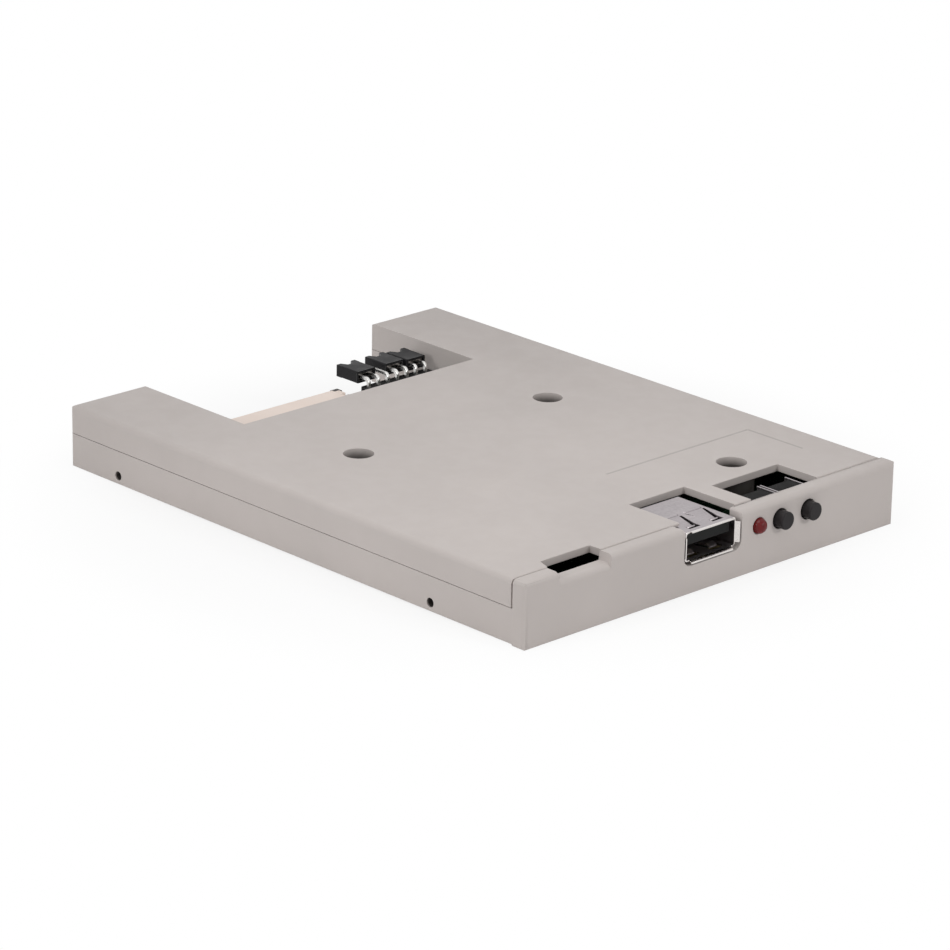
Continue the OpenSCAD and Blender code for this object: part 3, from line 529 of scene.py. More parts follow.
@dataclass(frozen=True)
class MouldedPlastic:
    """A moulded plastic with mould grain, uneven colour, polished edges, dust and, where given,
    painted shade in its hollows.
    """

    name: str
    colour: Tone
    roughness: float = 0.5
    grain_density: float = 5200.0
    grain_depth_mm: float = 0.006
    uneven_share: float = 0.06
    edge_lift_share: float = 0.12
    dust_share: float = 0.03
    dust_colour: Tone = (0.62, 0.6, 0.56)
    specular: float = 0.45
    marks: Optional[Marks] = None
    # painted shade in the piece's hollows, and the dark colour that it is painted in
    painted_shade: Optional[PaintedShade] = None
    painted_shade_colour: Tone = (0.02, 0.016, 0.014)
    tooth_shade: float = 0.6
    worn_paleness: float = 0.35
    mark_shade: float = 0.55
    mark_relief: float = 4.0
    scratch_relief: float = 0.35
    uneven_roughness: float = 0.05
    edge_polish: float = 0.12
    dust_dulling: float = 0.2

    def build(self, effects: EffectLibrary) -> bpy.types.Material:
        """Builds the material.

        Args:
            effects: the shared effects.

        Returns:
            The material.
        """
        material, sheet, shader = new_material(self.name)
        grain = sheet.group(effects.grain, Density=self.grain_density)
        patches = sheet.group(effects.patches, Density=38.0)
        edges = sheet.group(effects.edges, Density=600.0, Wear=0.8)
        dust = sheet.group(effects.settled, Density=800.0)["Dust"]
        scratches = sheet.group(effects.scratches, Density=200.0)["Line"]
        darker = shaded(self.colour, 1.0 - self.uneven_share)
        lighter = shaded(self.colour, 1.0 + self.uneven_share)
        colour = sheet.blend(patches["Broad"], darker, lighter)
        tooth = sheet.spread(grain["Tooth"], 0.25, 0.75, 0.0, 0.5 * self.uneven_share)
        colour = sheet.blend(tooth, colour, shaded(self.colour, self.tooth_shade))
        pale = tuple(v + (1.0 - v) * self.worn_paleness for v in self.colour)
        colour = sheet.blend(sheet.times(edges["Worn"], self.edge_lift_share), colour, pale)
        colour = sheet.blend(sheet.times(dust, self.dust_share), colour, self.dust_colour)
        height: Number = grain["Height"]
        # on the cover the marks are painted shade along the mould line over a bump relief; on the
        # tray they are the ejector rings
        if self.marks is not None:
            shade, relief = self.marks(sheet)
            colour = sheet.blend(shade, colour, shaded(self.colour, self.mark_shade))
            height = sheet.plus(height, sheet.times(relief, self.mark_relief))
        # paints shade into the hollows
        if self.painted_shade is not None:
            colour = sheet.blend(self.painted_shade(sheet), colour, self.painted_shade_colour)
        height = sheet.minus(height, sheet.times(scratches, self.scratch_relief))
        low, high = self.roughness - self.uneven_roughness, self.roughness + self.uneven_roughness
        rough = sheet.spread(patches["Small"], 0.0, 1.0, low, high)
        rough = sheet.minus(rough, sheet.times(edges["Strip"], self.edge_polish))
        rough = sheet.plus(rough, sheet.times(dust, self.dust_dulling), clamp=True)
        sheet.feed(shader.inputs["Base Color"], colour)
        sheet.feed(shader.inputs["Roughness"], rough)
        shader.inputs["Specular IOR Level"].default_value = self.specular
        bump(sheet, shader, height, self.grain_depth_mm)
        return material


@dataclass(frozen=True)
class WorkedMetal:
    """A plated or drawn metal with rolling streaks, dull patches and bright edges."""

    name: str
    colour: Tone
    dull_colour: Tone
    roughness: float = 0.3
    streak: Axis = Axis.Y
    streak_density: float = 3000.0
    streak_depth_mm: float = 0.0015
    streak_stretch: float = 0.08
    streak_share: float = 0.25
    dull_share: float = 0.35
    edge_brightness: float = 0.5
    edge_polish: float = 0.08
    scratch_dulling: float = 0.15
    smoother: float = 0.06
    rougher: float = 0.1

    def build(self, effects: EffectLibrary) -> bpy.types.Material:
        """Builds the material.

        Args:
            effects: the shared effects.

        Returns:
            The material.
        """
        material, sheet, shader = new_material(self.name)
        stretch = tuple(self.streak_stretch if a is self.streak else 1.0 for a in Axis)
        lines = sheet.noise(sheet.mapped(stretch), self.streak_density, 3.0, 0.6)
        patches = sheet.group(effects.patches, Density=220.0)
        strip = sheet.group(effects.edges, Density=1500.0, Wear=1.0)["Strip"]
        scratches = sheet.group(effects.scratches, Density=500.0)["Line"]
        dull = sheet.times(patches["Broad"], self.dull_share)
        colour = sheet.blend(dull, self.colour, self.dull_colour)
        streaks = sheet.spread(lines, 0.3, 0.7, 0.0, self.streak_share)
        colour = sheet.blend(streaks, colour, self.dull_colour)
        colour = sheet.blend(sheet.times(strip, self.edge_brightness), colour, self.colour)
        low, high = self.roughness - self.smoother, self.roughness + self.rougher
        rough = sheet.spread(patches["Small"], 0.0, 1.0, low, high)
        rough = sheet.plus(rough, sheet.times(scratches, self.scratch_dulling))
        rough = sheet.minus(rough, sheet.times(strip, self.edge_polish), clamp=True)
        sheet.feed(shader.inputs["Base Color"], colour)
        sheet.feed(shader.inputs["Roughness"], rough)
        shader.inputs["Metallic"].default_value = 1.0
        bump(sheet, shader, lines, self.streak_depth_mm)
        return material


@dataclass(frozen=True)
class CopperRuns:
    """Parallel copper runs on the board: their direction, pitch and how the lanes are shifted."""

    across: str
    along: str
    pitch_mm: float
    lane_shift: float


@dataclass(frozen=True)
class CoatedBoard:
    """A circuit board: resin under a coloured coating, copper runs and tinned lands."""

    name: str
    colour: Tone
    land_colour: Tone
    resin_colour: Tone
    hole_colour: Tone = (0.01, 0.01, 0.01)
    runs: tuple[CopperRuns, ...] = (
        CopperRuns("X", "Y", 1.27, 7.31), CopperRuns("Y", "X", 1.9, 10.31)
    )
    run_pieces_per_metre: float = 90.0
    lands_per_metre: float = 260.0
    run_brightness: float = 1.9
    run_lift: float = 0.01
    patch_shade: float = 0.8
    cut_edge_dulling: float = 0.4
    relief_mm: float = 0.03

    def _runs(self, sheet: NodeSheet) -> Socket:
        """The copper runs in both directions, broken off at random lengths.

        Args:
            sheet: the material's sheet.

        Returns:
            Their share.
        """
        where = sheet.parted(sheet.coordinates())
        total: Number = 0.0
        for run in self.runs:
            lanes = sheet.times(where[run.across], 1.0 / (run.pitch_mm * MM))
            line = sheet.spread(sheet.gap(sheet.math("FRACT", lanes), 0.5), 0.16, 0.12)
            shift = sheet.times(sheet.math("FLOOR", lanes), run.lane_shift)
            length = sheet.plus(sheet.times(where[run.along], self.run_pieces_per_metre), shift)
            cut = sheet.add("ShaderNodeTexWhiteNoise", noise_dimensions="1D")
            sheet.feed(cut.inputs["W"], sheet.math("FLOOR", length))
            shown = sheet.above(cut.outputs["Value"], 0.5)
            total = sheet.larger(total, sheet.times(line, shown))
        return total

    def build(self, effects: EffectLibrary) -> bpy.types.Material:
        """Builds the material.

        Args:
            effects: the shared effects.

        Returns:
            The material.
        """
        material, sheet, shader = new_material(self.name)
        flat = sheet.spread(sheet.size(sheet.parted(sheet.facing())["Z"]), 0.7, 0.9)
        runs = sheet.times(self._runs(sheet), flat)
        lands = sheet.cells(sheet.coordinates(), self.lands_per_metre)
        land = sheet.times(sheet.spread(lands, 0.11, 0.09), flat)
        hole = sheet.times(sheet.spread(lands, 0.055, 0.045), flat)
        patches = sheet.group(effects.patches, Density=120.0)
        weave = sheet.noise(sheet.mapped((1.0, 1.0, 4.0)), 2600.0)
        base = sheet.blend(patches["Broad"], self.colour, shaded(self.colour, self.patch_shade))
        over_copper = tuple(v * self.run_brightness + self.run_lift for v in self.colour)
        base = sheet.blend(runs, base, over_copper)
        base = sheet.blend(land, base, self.land_colour)
        base = sheet.blend(hole, base, self.hole_colour)
        rough = sheet.spread(patches["Small"], 0.0, 1.0, 0.26, 0.38)
        cut_edge = sheet.times(sheet.minus(1.0, flat), self.cut_edge_dulling)
        sheet.feed(shader.inputs["Base Color"], sheet.blend(flat, self.resin_colour, base))
        sheet.feed(shader.inputs["Roughness"], sheet.plus(rough, cut_edge, clamp=True))
        sheet.feed(shader.inputs["Metallic"], sheet.minus(land, hole, clamp=True))
        height = sheet.plus(sheet.times(runs, 0.5), sheet.times(weave, 0.12))
        bump(sheet, shader, sheet.minus(height, hole), self.relief_mm)
        return material


@dataclass(frozen=True)
class ClearLens:
    """A tinted clear resin, as a lamp's body is cast from."""

    name: str
    colour: Tone
    roughness: float = 0.06
    transmission: float = 0.12
    refraction: float = 1.5
    gloss: float = 0.5
    gloss_roughness: float = 0.08
    deep_shade: float = 0.75
    relief_mm: float = 0.0004

    def build(self, effects: EffectLibrary) -> bpy.types.Material:
        """Builds the material.

        Args:
            effects: the shared effects.

        Returns:
            The material.
        """
        material, sheet, shader = new_material(self.name)
        patches = sheet.group(effects.patches, Density=500.0)
        scratches = sheet.group(effects.scratches, Density=700.0)["Line"]
        deep = shaded(self.colour, self.deep_shade)
        low, high = self.roughness - 0.04, self.roughness + 0.08
        rough = sheet.spread(patches["Small"], 0.0, 1.0, low, high)
        sheet.feed(shader.inputs["Base Color"], sheet.blend(patches["Broad"], self.colour, deep))
        sheet.feed(shader.inputs["Roughness"], rough)
        for label, value in (
            ("Transmission Weight", self.transmission), ("IOR", self.refraction),
            ("Specular IOR Level", 0.0), ("Coat Weight", self.gloss),
            ("Coat Roughness", self.gloss_roughness),
        ):
            shader.inputs[label].default_value = value
        bump(sheet, shader, sheet.minus(patches["Small"], scratches), self.relief_mm)
        return material


Finish = Union[MouldedPlastic, WorkedMetal, CoatedBoard, ClearLens]


def finished(
    name: str, shape: bmesh.types.BMesh, body: str,
    material: bpy.types.Material, smooth: bool = True,
) -> bpy.types.Object:
    """Makes a piece of a finished shape and puts it on its body.

    Args:
        name: the piece's name.
        shape: the shape, in place in the frame; it is freed.
        body: the body that it rides on.
        material: its material.
        smooth: whether the faces shade smoothly.

    Returns:
        The piece.
    """
    mesh = bpy.data.meshes.new(name)
    for face in shape.faces:
        face.smooth = smooth
    shape.to_mesh(mesh)
    shape.free()
    mesh.materials.append(material)
    piece = linked(name, mesh)
    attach(piece, body)
    LOG.info("piece %s on %s: %d faces", name, body, len(mesh.polygons))
    return piece


def rounded(
    shape: bmesh.types.BMesh, edges: list[bmesh.types.BMEdge], width_mm: float, segments: int
) -> None:
    """Rounds some edges of a shape and marks the new strips.

    Args:
        shape: the shape.
        edges: the edges to round.
        width_mm: width of the rounding.
        segments: strips across it.
    """
    share = shape.faces.layers.float[EDGE_SHARE]
    made = bmesh.ops.bevel(
        shape, geom=edges, offset=width_mm * MM, offset_type="OFFSET", segments=segments,
        profile=0.5, affect="EDGES", clamp_overlap=False, material=-1, loop_slide=False,
    )
    for face in made["faces"]:
        face[share] = 1.0


def softened(node: str, width_mm: float, segments: int) -> bmesh.types.BMesh:
    """Copies a node's solid, joins its triangles and rounds its sharp edges a little.

    Args:
        node: the node to copy.
        width_mm: width of the rounding.
        segments: strips across it.

    Returns:
        The shape.
    """
    shape = bmesh.new()
    shape.from_mesh(NODES[node].data)
    for layer in list(shape.loops.layers.uv):
        shape.loops.layers.uv.remove(layer)
    bmesh.ops.remove_doubles(shape, verts=shape.verts, dist=WELD)
    bmesh.ops.dissolve_degenerate(shape, edges=shape.edges, dist=WELD)
    bmesh.ops.dissolve_limit(
        shape, angle_limit=COPLANAR, use_dissolve_boundaries=False,
        verts=shape.verts, edges=shape.edges, delimit=set(),
    )
    shape.faces.layers.float.new(EDGE_SHARE)
    shortest = SHORTEST_EDGE * width_mm * MM
    sharp = [
        e
        for e in shape.edges
        if len(e.link_faces) == 2
        and e.calc_length() > shortest
        and e.calc_face_angle(0.0) > SHARP
    ]
    rounded(shape, sharp, width_mm, segments)
    for edge in shape.edges:
        edge.smooth = not (len(edge.link_faces) == 2 and edge.calc_face_angle(0.0) > CREASE)
    return shape


def stand_in(
    node: str, name: str, material: bpy.types.Material, width_mm: float,
    body: str = DRIVE, segments: int = ROUND_SEGMENTS,
) -> bpy.types.Object:
    """Shows a softened copy in place of a node.

    Args:
        node: the node that the piece stands for.
        name: the piece's name.
        material: its material.
        width_mm: width of the edge rounding.
        body: the body that it rides on.
        segments: strips across the rounding.

    Returns:
        The piece.
    """
    piece = finished(name, softened(node, width_mm, segments), body, material)
    even = piece.modifiers.new("even_shading", "WEIGHTED_NORMAL")
    even.keep_sharp = True
    even.weight = FACE_AREA_WEIGHT
    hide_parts(node)
    return piece


def dress(node: str, material: bpy.types.Material) -> None:
    """Gives a node that stays its finished material.

    Args:
        node: the node.
        material: its material.
    """
    mesh = NODES[node].data
    mesh.materials.clear()
    mesh.materials.append(material)
    LOG.info("node %s dressed in %s", node, material.name)


def block(low: Vector, high: Vector, edge_mm: float) -> bmesh.types.BMesh:
    """A box with rounded edges.

    Args:
        low: its lowest corner.
        high: its highest corner.
        edge_mm: width of the rounding.

    Returns:
        The shape.
    """
    shape = bmesh.new()
    bmesh.ops.create_cube(shape, size=1.0)
    for vert in shape.verts:
        vert.co = Vector(low[i] if vert.co[i] < 0 else high[i] for i in range(3))
    shape.faces.layers.float.new(EDGE_SHARE)
    rounded(shape, list(shape.edges), edge_mm, ROUND_SEGMENTS)
    return shape


def turned(outline: Pairs, foot: Vector, axis: Vector) -> bmesh.types.BMesh:
    """A solid of revolution.

    Args:
        outline: radius and height in millimetres, from the foot's middle to the tip's middle.
        foot: where height 0 of the axis lies.
        axis: the way that height grows.

    Returns:
        The closed shape, with no strip marked on it.
    """
    shape = bmesh.new()
    verts = [shape.verts.new((radius * MM, 0.0, height * MM)) for radius, height in outline]
    edges = [shape.edges.new(pair) for pair in zip(verts, verts[1:])]
    bmesh.ops.spin(
        shape, geom=verts + edges, cent=(0, 0, 0), axis=UP,
        angle=math.tau, steps=TURN_STEPS, use_merge=True,
    )
    bmesh.ops.remove_doubles(shape, verts=shape.verts, dist=POLE_WELD)
    bmesh.ops.recalc_face_normals(shape, faces=shape.faces)
    turn = axis.to_track_quat("Z", "Y").to_matrix().to_4x4()
    bmesh.ops.transform(shape, matrix=Matrix.Translation(foot) @ turn, verts=shape.verts)
    shape.faces.layers.float.new(EDGE_SHARE)
    return shape


def gathered(shapes: list[bmesh.types.BMesh]) -> bmesh.types.BMesh:
    """Puts several shapes into one.

    Args:
        shapes: the shapes; they are freed.

    Returns:
        All of them in one shape.
    """
    whole = bmesh.new()
    whole.faces.layers.float.new(EDGE_SHARE)
    for shape in shapes:
        mesh = bpy.data.meshes.new("part_of_a_set")
        shape.to_mesh(mesh)
        shape.free()
        whole.from_mesh(mesh)
        bpy.data.meshes.remove(mesh)
    return whole


@dataclass(frozen=True)
class SoftLamp:
    """A round soft lamp: where it hangs, what it lights, its width and its power in watts."""

    name: str
    where: Triple
    aim: Triple
    width: float
    power: float

    def build(self) -> None:
        """Hangs the lamp."""
        data = bpy.data.lights.new(self.name, "AREA")
        data.shape = "DISK"
        data.size = self.width
        data.energy = self.power
        lamp = linked(self.name, data)
        lamp.location = self.where
        lamp.rotation_mode = "QUATERNION"
        ray = Vector(self.aim) - Vector(self.where)
        lamp.rotation_quaternion = ray.to_track_quat("-Z", "Y")
        lamp.visible_camera = False


@dataclass
class Studio:
    """Floor, soft lights and the camera at the picture's angle."""

    floor_half: float = 3.0
    floor_sink: float = 0.00002
    paper: Tone = (0.97, 0.97, 0.97)
    shadow_near: float = 0.055
    shadow_far: float = 0.095
    glow_near_share: float = 0.8
    room_light: float = 0.42
    lamps: tuple[SoftLamp, ...] = (
        SoftLamp("lamp_left", (-0.8, 0.05, 0.35), (0.0, 0.0, 0.0), 0.4, 1.7),
        SoftLamp("lamp_right_front", (0.25, -0.8, 0.42), (0.0, 0.0, 0.0), 0.18, 1.55),
        SoftLamp("lamp_overhead", (-0.032, -0.035, 0.15), (-0.032, -0.035, 0.0), 0.14, 0.079),
    )
    focal_mm: float = 167.93
    sensor_mm: float = 36.0
    clip_near: float = 0.02
    clip_far: float = 20.0
    azimuth: float = 43.984
    elevation: float = 19.888
    roll: float = 1.076
    camera_place: Triple = (-0.549101, -0.567589, 0.289938)

    def build(self) -> None:
        """Sets up the floor, the world, the lamps and the camera."""
        self._floor()
        self._world()
        for lamp in self.lamps:
            lamp.build()
        self._camera()

    def _backdrop_share(self, sheet: NodeSheet) -> Socket:
        """Tells the rays that show the background from those that light the object.

        Args:
            sheet: the sheet of the floor or the world.

        Returns:
            1 for rays that show the background, 0 for the others.
        """
        path = sheet.add("ShaderNodeLightPath").outputs
        total = sheet.larger(path["Is Camera Ray"], path["Is Glossy Ray"])
        return sheet.larger(total, path["Is Transmission Ray"])

    def _floor(self) -> None:
        """A plain white floor that keeps a faint shadow near the object."""
        shape = bmesh.new()
        bmesh.ops.create_grid(shape, x_segments=1, y_segments=1, size=self.floor_half)
        bmesh.ops.translate(shape, verts=shape.verts, vec=(0.0, 0.0, -self.floor_sink))
        mesh = bpy.data.meshes.new("floor")
        shape.to_mesh(mesh)
        shape.free()
        floor = linked("floor", mesh)
        material = bpy.data.materials.new("white_sweep")
        material.use_nodes = True
        sheet = NodeSheet(material.node_tree)
        paper = sheet.add("ShaderNodeBsdfDiffuse")
        sheet.feed(paper.inputs["Color"], self.paper)
        glow = sheet.add("ShaderNodeEmission")
        sheet.feed(glow.inputs["Color"], (1.0, 1.0, 1.0))
        glow.inputs["Strength"].default_value = 1.0
        mix = sheet.add("ShaderNodeMixShader")
        distance = sheet.add("ShaderNodeVectorMath", operation="LENGTH")
        sheet.feed(distance.inputs[0], sheet.coordinates())
        plain = sheet.spread(
            distance.outputs["Value"], self.shadow_near, self.shadow_far, self.glow_near_share, 1.0
        )
        sheet.feed(mix.inputs[0], sheet.times(self._backdrop_share(sheet), plain))
        sheet.feed(mix.inputs[1], paper.outputs[0])
        sheet.feed(mix.inputs[2], glow.outputs[0])
        out = sheet.add("ShaderNodeOutputMaterial")
        sheet.feed(out.inputs["Surface"], mix.outputs[0])
        mesh.materials.append(material)

    def _world(self) -> None:
        """An even white surround that lights the object less than it shows."""
        world = bpy.data.worlds.new("white_room")
        bpy.context.scene.world = world
        world.use_nodes = True
        sheet = NodeSheet(world.node_tree)
        air = sheet.add("ShaderNodeBackground")
        sheet.feed(air.inputs["Color"], (1.0, 1.0, 1.0))
        shown = sheet.times(self._backdrop_share(sheet), 1.0 - self.room_light)
        sheet.feed(air.inputs["Strength"], sheet.plus(self.room_light, shown))
        out = sheet.add("ShaderNodeOutputWorld")
        sheet.feed(out.inputs["Surface"], air.outputs[0])

    def _camera(self) -> None:
        """The camera, fitted to the picture."""
        a, e, r = (math.radians(v) for v in (self.azimuth, self.elevation, self.roll))
        back = Vector((-math.sin(a) * math.cos(e), -math.cos(a) * math.cos(e), math.sin(e)))
        right = (-back).cross(UP).normalized()
        up = right.cross(-back)
        turned_right = right * math.cos(r) + up * math.sin(r)
        turned_up = up * math.cos(r) - right * math.sin(r)
        turn = Matrix((turned_right, turned_up, back)).transposed().to_4x4()
        data = bpy.data.cameras.new("camera")
        data.lens = self.focal_mm
        data.sensor_width = self.sensor_mm
        data.clip_start, data.clip_end = self.clip_near, self.clip_far
        camera = linked("camera", data)
        camera.matrix_world = Matrix.Translation(Vector(self.camera_place)) @ turn
        bpy.context.scene.camera = camera


def within_bores(
    sheet: NodeSheet, ways: str, centres: tuple[Vector, ...], radius_mm: float
) -> Socket:
    """1 inside any of a row of bores, 0 elsewhere.

    Args:
        sheet: the material's sheet.
        ways: the two directions across the bores.
        centres: a point on each bore's axis.
        radius_mm: radius within which the result is 1.

    Returns:
        The share.
    """
    where = sheet.parted(sheet.coordinates())
    total: Number = 0.0
    for centre in centres:
        squares: Number = 0.0
        for way in ways:
            gap = sheet.minus(where[way], centre["XYZ".index(way)])
            squares = sheet.plus(squares, sheet.times(gap, gap))
        total = sheet.larger(total, sheet.below(sheet.math("SQRT", squares), radius_mm * MM))
    return total


@dataclass(frozen=True)
class WitnessLine:
    """The faint mould line on the cover round the switches and the socket: a small bump relief
    with painted shade along it.
    """

    corner_x_mm: float = 40.25
    corner_y_mm: float = 30.45
    start_x_mm: float = 2.1
    start_y_mm: float = 16.35
    lowest_mm: float = 12.2
    core_mm: float = 0.18
    reach_mm: float = 0.36
    shade: float = 0.5
    relief: float = -2.0

    def draw(self, sheet: NodeSheet) -> tuple[Socket, Socket]:
        """Draws the line's two legs.

        Args:
            sheet: the cover material's sheet.

        Returns:
            Its painted shade and its relief.
        """
        where = sheet.parted(sheet.coordinates())
        corner = place(self.corner_x_mm, self.corner_y_mm, 0)
        start = place(self.start_x_mm, self.start_y_mm, 0)
        legs = []
        for across, along in (("Y", "X"), ("X", "Y")):
            middle = corner["XYZ".index(across)]
            first, last = start["XYZ".index(along)], corner["XYZ".index(along)]
            away = sheet.gap(where[across], middle)
            leg = sheet.spread(away, self.reach_mm * MM, self.core_mm * MM)
            leg = sheet.times(leg, sheet.below(where[along], last))
            legs.append(sheet.times(leg, sheet.above(where[along], first)))
        on_top = sheet.above(where["Z"], self.lowest_mm * MM)
        line = sheet.times(sheet.larger(*legs), on_top)
        return sheet.times(line, self.shade), sheet.times(line, self.relief)


@dataclass(frozen=True)
class PaintedWellShade:
    """Painted shade in the cover's three screw wells and round the front one under the plate."""

    well_places_mm: Pairs = ((-24.7, 68.85), (24.7, 68.85), (24.7, 20.0))
    radius_mm: float = 3.0
    lit_above_mm: float = 12.45
    dark_below_mm: float = 10.6
    shade_share: float = 0.8
    outer_radius_mm: float = 5.0
    plate_low_mm: float = 10.9
    front_well_shade_share: float = 0.92

    def paint_shade(self, sheet: NodeSheet) -> Socket:
        """Draws the painted shade.

        Args:
            sheet: the cover material's sheet.

        Returns:
            Its share.
        """
        centres = tuple(place(x, y, 0) for x, y in self.well_places_mm)
        height = sheet.parted(sheet.coordinates())["Z"]
        deep = sheet.spread(
            height, self.lit_above_mm * MM, self.dark_below_mm * MM, 0.0, self.shade_share
        )
        well_shade = sheet.times(within_bores(sheet, "XY", centres, self.radius_mm), deep)
        # painted shade on the front well's outside, under the cover's plate
        under_plate = sheet.below(height, self.plate_low_mm * MM)
        round_front = within_bores(sheet, "XY", centres[-1:], self.outer_radius_mm)
        outside = sheet.times(sheet.times(round_front, under_plate), self.front_well_shade_share)
        return sheet.larger(well_shade, outside)


@dataclass(frozen=True)
class PaintedBoreShade:
    """Painted shade inside the mounting holes in the tray's sides; the same shade falls on every
    tray face nearer the middle that lies within the holes' radius of their axes.
    """

    bore_places_mm: Pairs = ((24.1, 2.0), (110.9, 2.0))
    radius_mm: float = 0.96
    lit_outside_mm: float = 48.05
    dark_inside_mm: float = 47.6
    shade_share: float = 0.92

    def paint_shade(self, sheet: NodeSheet) -> Socket:
        """Draws the painted shade.

        Args:
            sheet: the tray material's sheet.

        Returns:
            Its share.
        """
        centres = tuple(place(0, y, z) for y, z in self.bore_places_mm)
        side = sheet.size(sheet.parted(sheet.coordinates())["X"])
        deep = sheet.spread(
            side, self.lit_outside_mm * MM, self.dark_inside_mm * MM, 0.0, self.shade_share
        )
        return sheet.times(within_bores(sheet, "YZ", centres, self.radius_mm), deep)


@dataclass(frozen=True)
class EjectorMarks:
    """The round marks that the mould's ejectors leave on the tray's underside."""

    pitches: tuple[tuple[str, float], ...] = (("X", 0.028), ("Y", 0.036))
    lattice_shift: float = 10.5
    radius_mm: float = 2.4
    ring_core_mm: float = 0.04
    ring_reach_mm: float = 0.12
    rim_mm: float = 0.1
    highest_mm: float = 0.6
    shade: float = 0.35
    relief: float = -0.6

    def draw(self, sheet: NodeSheet) -> tuple[Socket, Socket]:
        """Draws the marks.

        Args:
            sheet: the tray material's sheet.

        Returns:
            Their shade and their relief.
        """
        where = sheet.parted(sheet.coordinates())
        squares: Number = 0.0
        for way, pitch in self.pitches:
            share = sheet.plus(sheet.times(where[way], 1.0 / pitch), self.lattice_shift)
            gap = sheet.times(sheet.minus(sheet.math("FRACT", share), 0.5), pitch)
            squares = sheet.plus(squares, sheet.times(gap, gap))
        radius = sheet.math("SQRT", squares)
        edge = sheet.gap(radius, self.radius_mm * MM)
        ring = sheet.spread(edge, self.ring_reach_mm * MM, self.ring_core_mm * MM)
        outer, inner = self.radius_mm + self.rim_mm, self.radius_mm - self.rim_mm
        disc = sheet.spread(radius, outer * MM, inner * MM)
        low = sheet.below(where["Z"], self.highest_mm * MM)
        ring, disc = sheet.times(ring, low), sheet.times(disc, low)
        return sheet.times(ring, self.shade), sheet.times(disc, self.relief)


@dataclass
class Palette:
    """Every finish of the drive, built once."""

    effects: EffectLibrary
    made: dict[str, bpy.types.Material] = field(default_factory=dict)

    def add(self, *finishes: Finish) -> None:
        """Builds finishes and keeps them by name.

        Args:
            finishes: the finishes.
        """
        for finish in finishes:
            self.made[finish.name] = finish.build(self.effects)

    def __getitem__(self, name: str) -> bpy.types.Material:
        """The built material of that name."""
        return self.made[name]


def build_palette(effects: EffectLibrary) -> Palette:
    """Builds every finish of the drive.

    Args:
        effects: the shared effects.

    Returns:
        The palette.
    """
    palette = Palette(effects)
    case = dict(
        colour=tone(196, 188, 184), roughness=0.52, grain_depth_mm=0.004, uneven_share=0.03
    )
    coarse = dict(grain_density=8000.0, grain_depth_mm=0.004, edge_lift_share=0.25)
    fine = dict(grain_density=9000.0, grain_depth_mm=0.002, dust_share=0.01)
    flush = dict(grain_density=8000.0, grain_depth_mm=0.003, roughness=0.4)
    small = dict(grain_density=9000.0, grain_depth_mm=0.003, uneven_share=0.15)
    pressed = dict(streak=Axis.X, streak_density=1200.0, streak_depth_mm=0.0001)
    palette.add(
        # the cover gets painted shade in its screw wells, the tray in its mounting holes
        MouldedPlastic(
            "case_plastic_cover", marks=WitnessLine().draw, painted_shade=PaintedWellShade().paint_shade, **case
        ),
        MouldedPlastic(
            "case_plastic_tray", marks=EjectorMarks().draw, painted_shade=PaintedBoreShade().paint_shade, **case
        ),
        MouldedPlastic(
            "button_black", tone(36, 33, 34), roughness=0.42, grain_density=9000.0,
            grain_depth_mm=0.003, edge_lift_share=0.3, uneven_share=0.12, specular=0.16,
        ),
        MouldedPlastic(
            "cap_black", tone(30, 29, 31), roughness=0.45, uneven_share=0.12, specular=0.16,
            **coarse,
        ),
        MouldedPlastic(
            "base_black", tone(22, 21, 22), roughness=0.48, uneven_share=0.12, specular=0.2,
            **coarse,
        ),
        MouldedPlastic(
            "switch_black", tone(14, 12, 12), roughness=0.3, edge_lift_share=0.1,
            uneven_share=0.12, specular=0.02, **fine,
        ),
        MouldedPlastic(
            "tongue_black", tone(13, 14, 13), roughness=0.34, edge_lift_share=0.15,
            uneven_share=0.12, specular=0.14, **fine,
        ),
        MouldedPlastic(
            "chip_black", tone(38, 38, 40), grain_density=9000.0, grain_depth_mm=0.004,
            edge_lift_share=0.2, uneven_share=0.15,
        ),
        MouldedPlastic(
            "cream_plastic", tone(244, 227, 216), edge_lift_share=0.2, uneven_share=0.05, **flush
        ),
        MouldedPlastic(
            "slider_dark", tone(44, 36, 33), edge_lift_share=0.3, uneven_share=0.1, **flush
        ),
        MouldedPlastic("capacitor_ceramic", tone(150, 124, 98), roughness=0.55, **small),
        MouldedPlastic("resistor_film", tone(28, 28, 30), roughness=0.4, **small),
        WorkedMetal(
            "shell_steel", tone(172, 165, 167), tone(148, 142, 145), roughness=0.34,
            dull_share=0.3, **pressed,
        ),
        WorkedMetal(
            "lip_steel", tone(222, 217, 214), tone(196, 190, 188), roughness=0.2,
            dull_share=0.2, **pressed,
        ),
        WorkedMetal(
            "clip_steel", tone(150, 146, 142), tone(110, 106, 102), roughness=0.36,
            streak_depth_mm=0.0006,
        ),
        WorkedMetal(
            "screw_steel", (0.62, 0.61, 0.6), (0.35, 0.34, 0.33), roughness=0.35, streak=Axis.Z
        ),
        WorkedMetal("tinned_metal", (0.8, 0.79, 0.77), (0.55, 0.54, 0.52)),
        WorkedMetal(
            "solder_tin", (0.66, 0.66, 0.67), (0.48, 0.48, 0.49), roughness=0.26,
            streak=Axis.Z, streak_depth_mm=0.0006,
        ),
        WorkedMetal("gold_plate", (0.83, 0.64, 0.3), (0.6, 0.44, 0.2), roughness=0.28),
        WorkedMetal(
            "can_aluminium", (0.8, 0.8, 0.8), (0.6, 0.6, 0.6), roughness=0.32, streak=Axis.Z
        ),
        MouldedPlastic(
            "white_print", tone(214, 214, 206), roughness=0.6, grain_density=9000.0,
            grain_depth_mm=0.001, edge_lift_share=0.1, uneven_share=0.12,
        ),
        CoatedBoard("coated_board", tone(13, 42, 25), (0.75, 0.72, 0.66), tone(150, 140, 100)),
        ClearLens("lamp_red", tone(116, 0, 5)),
    )
    return palette


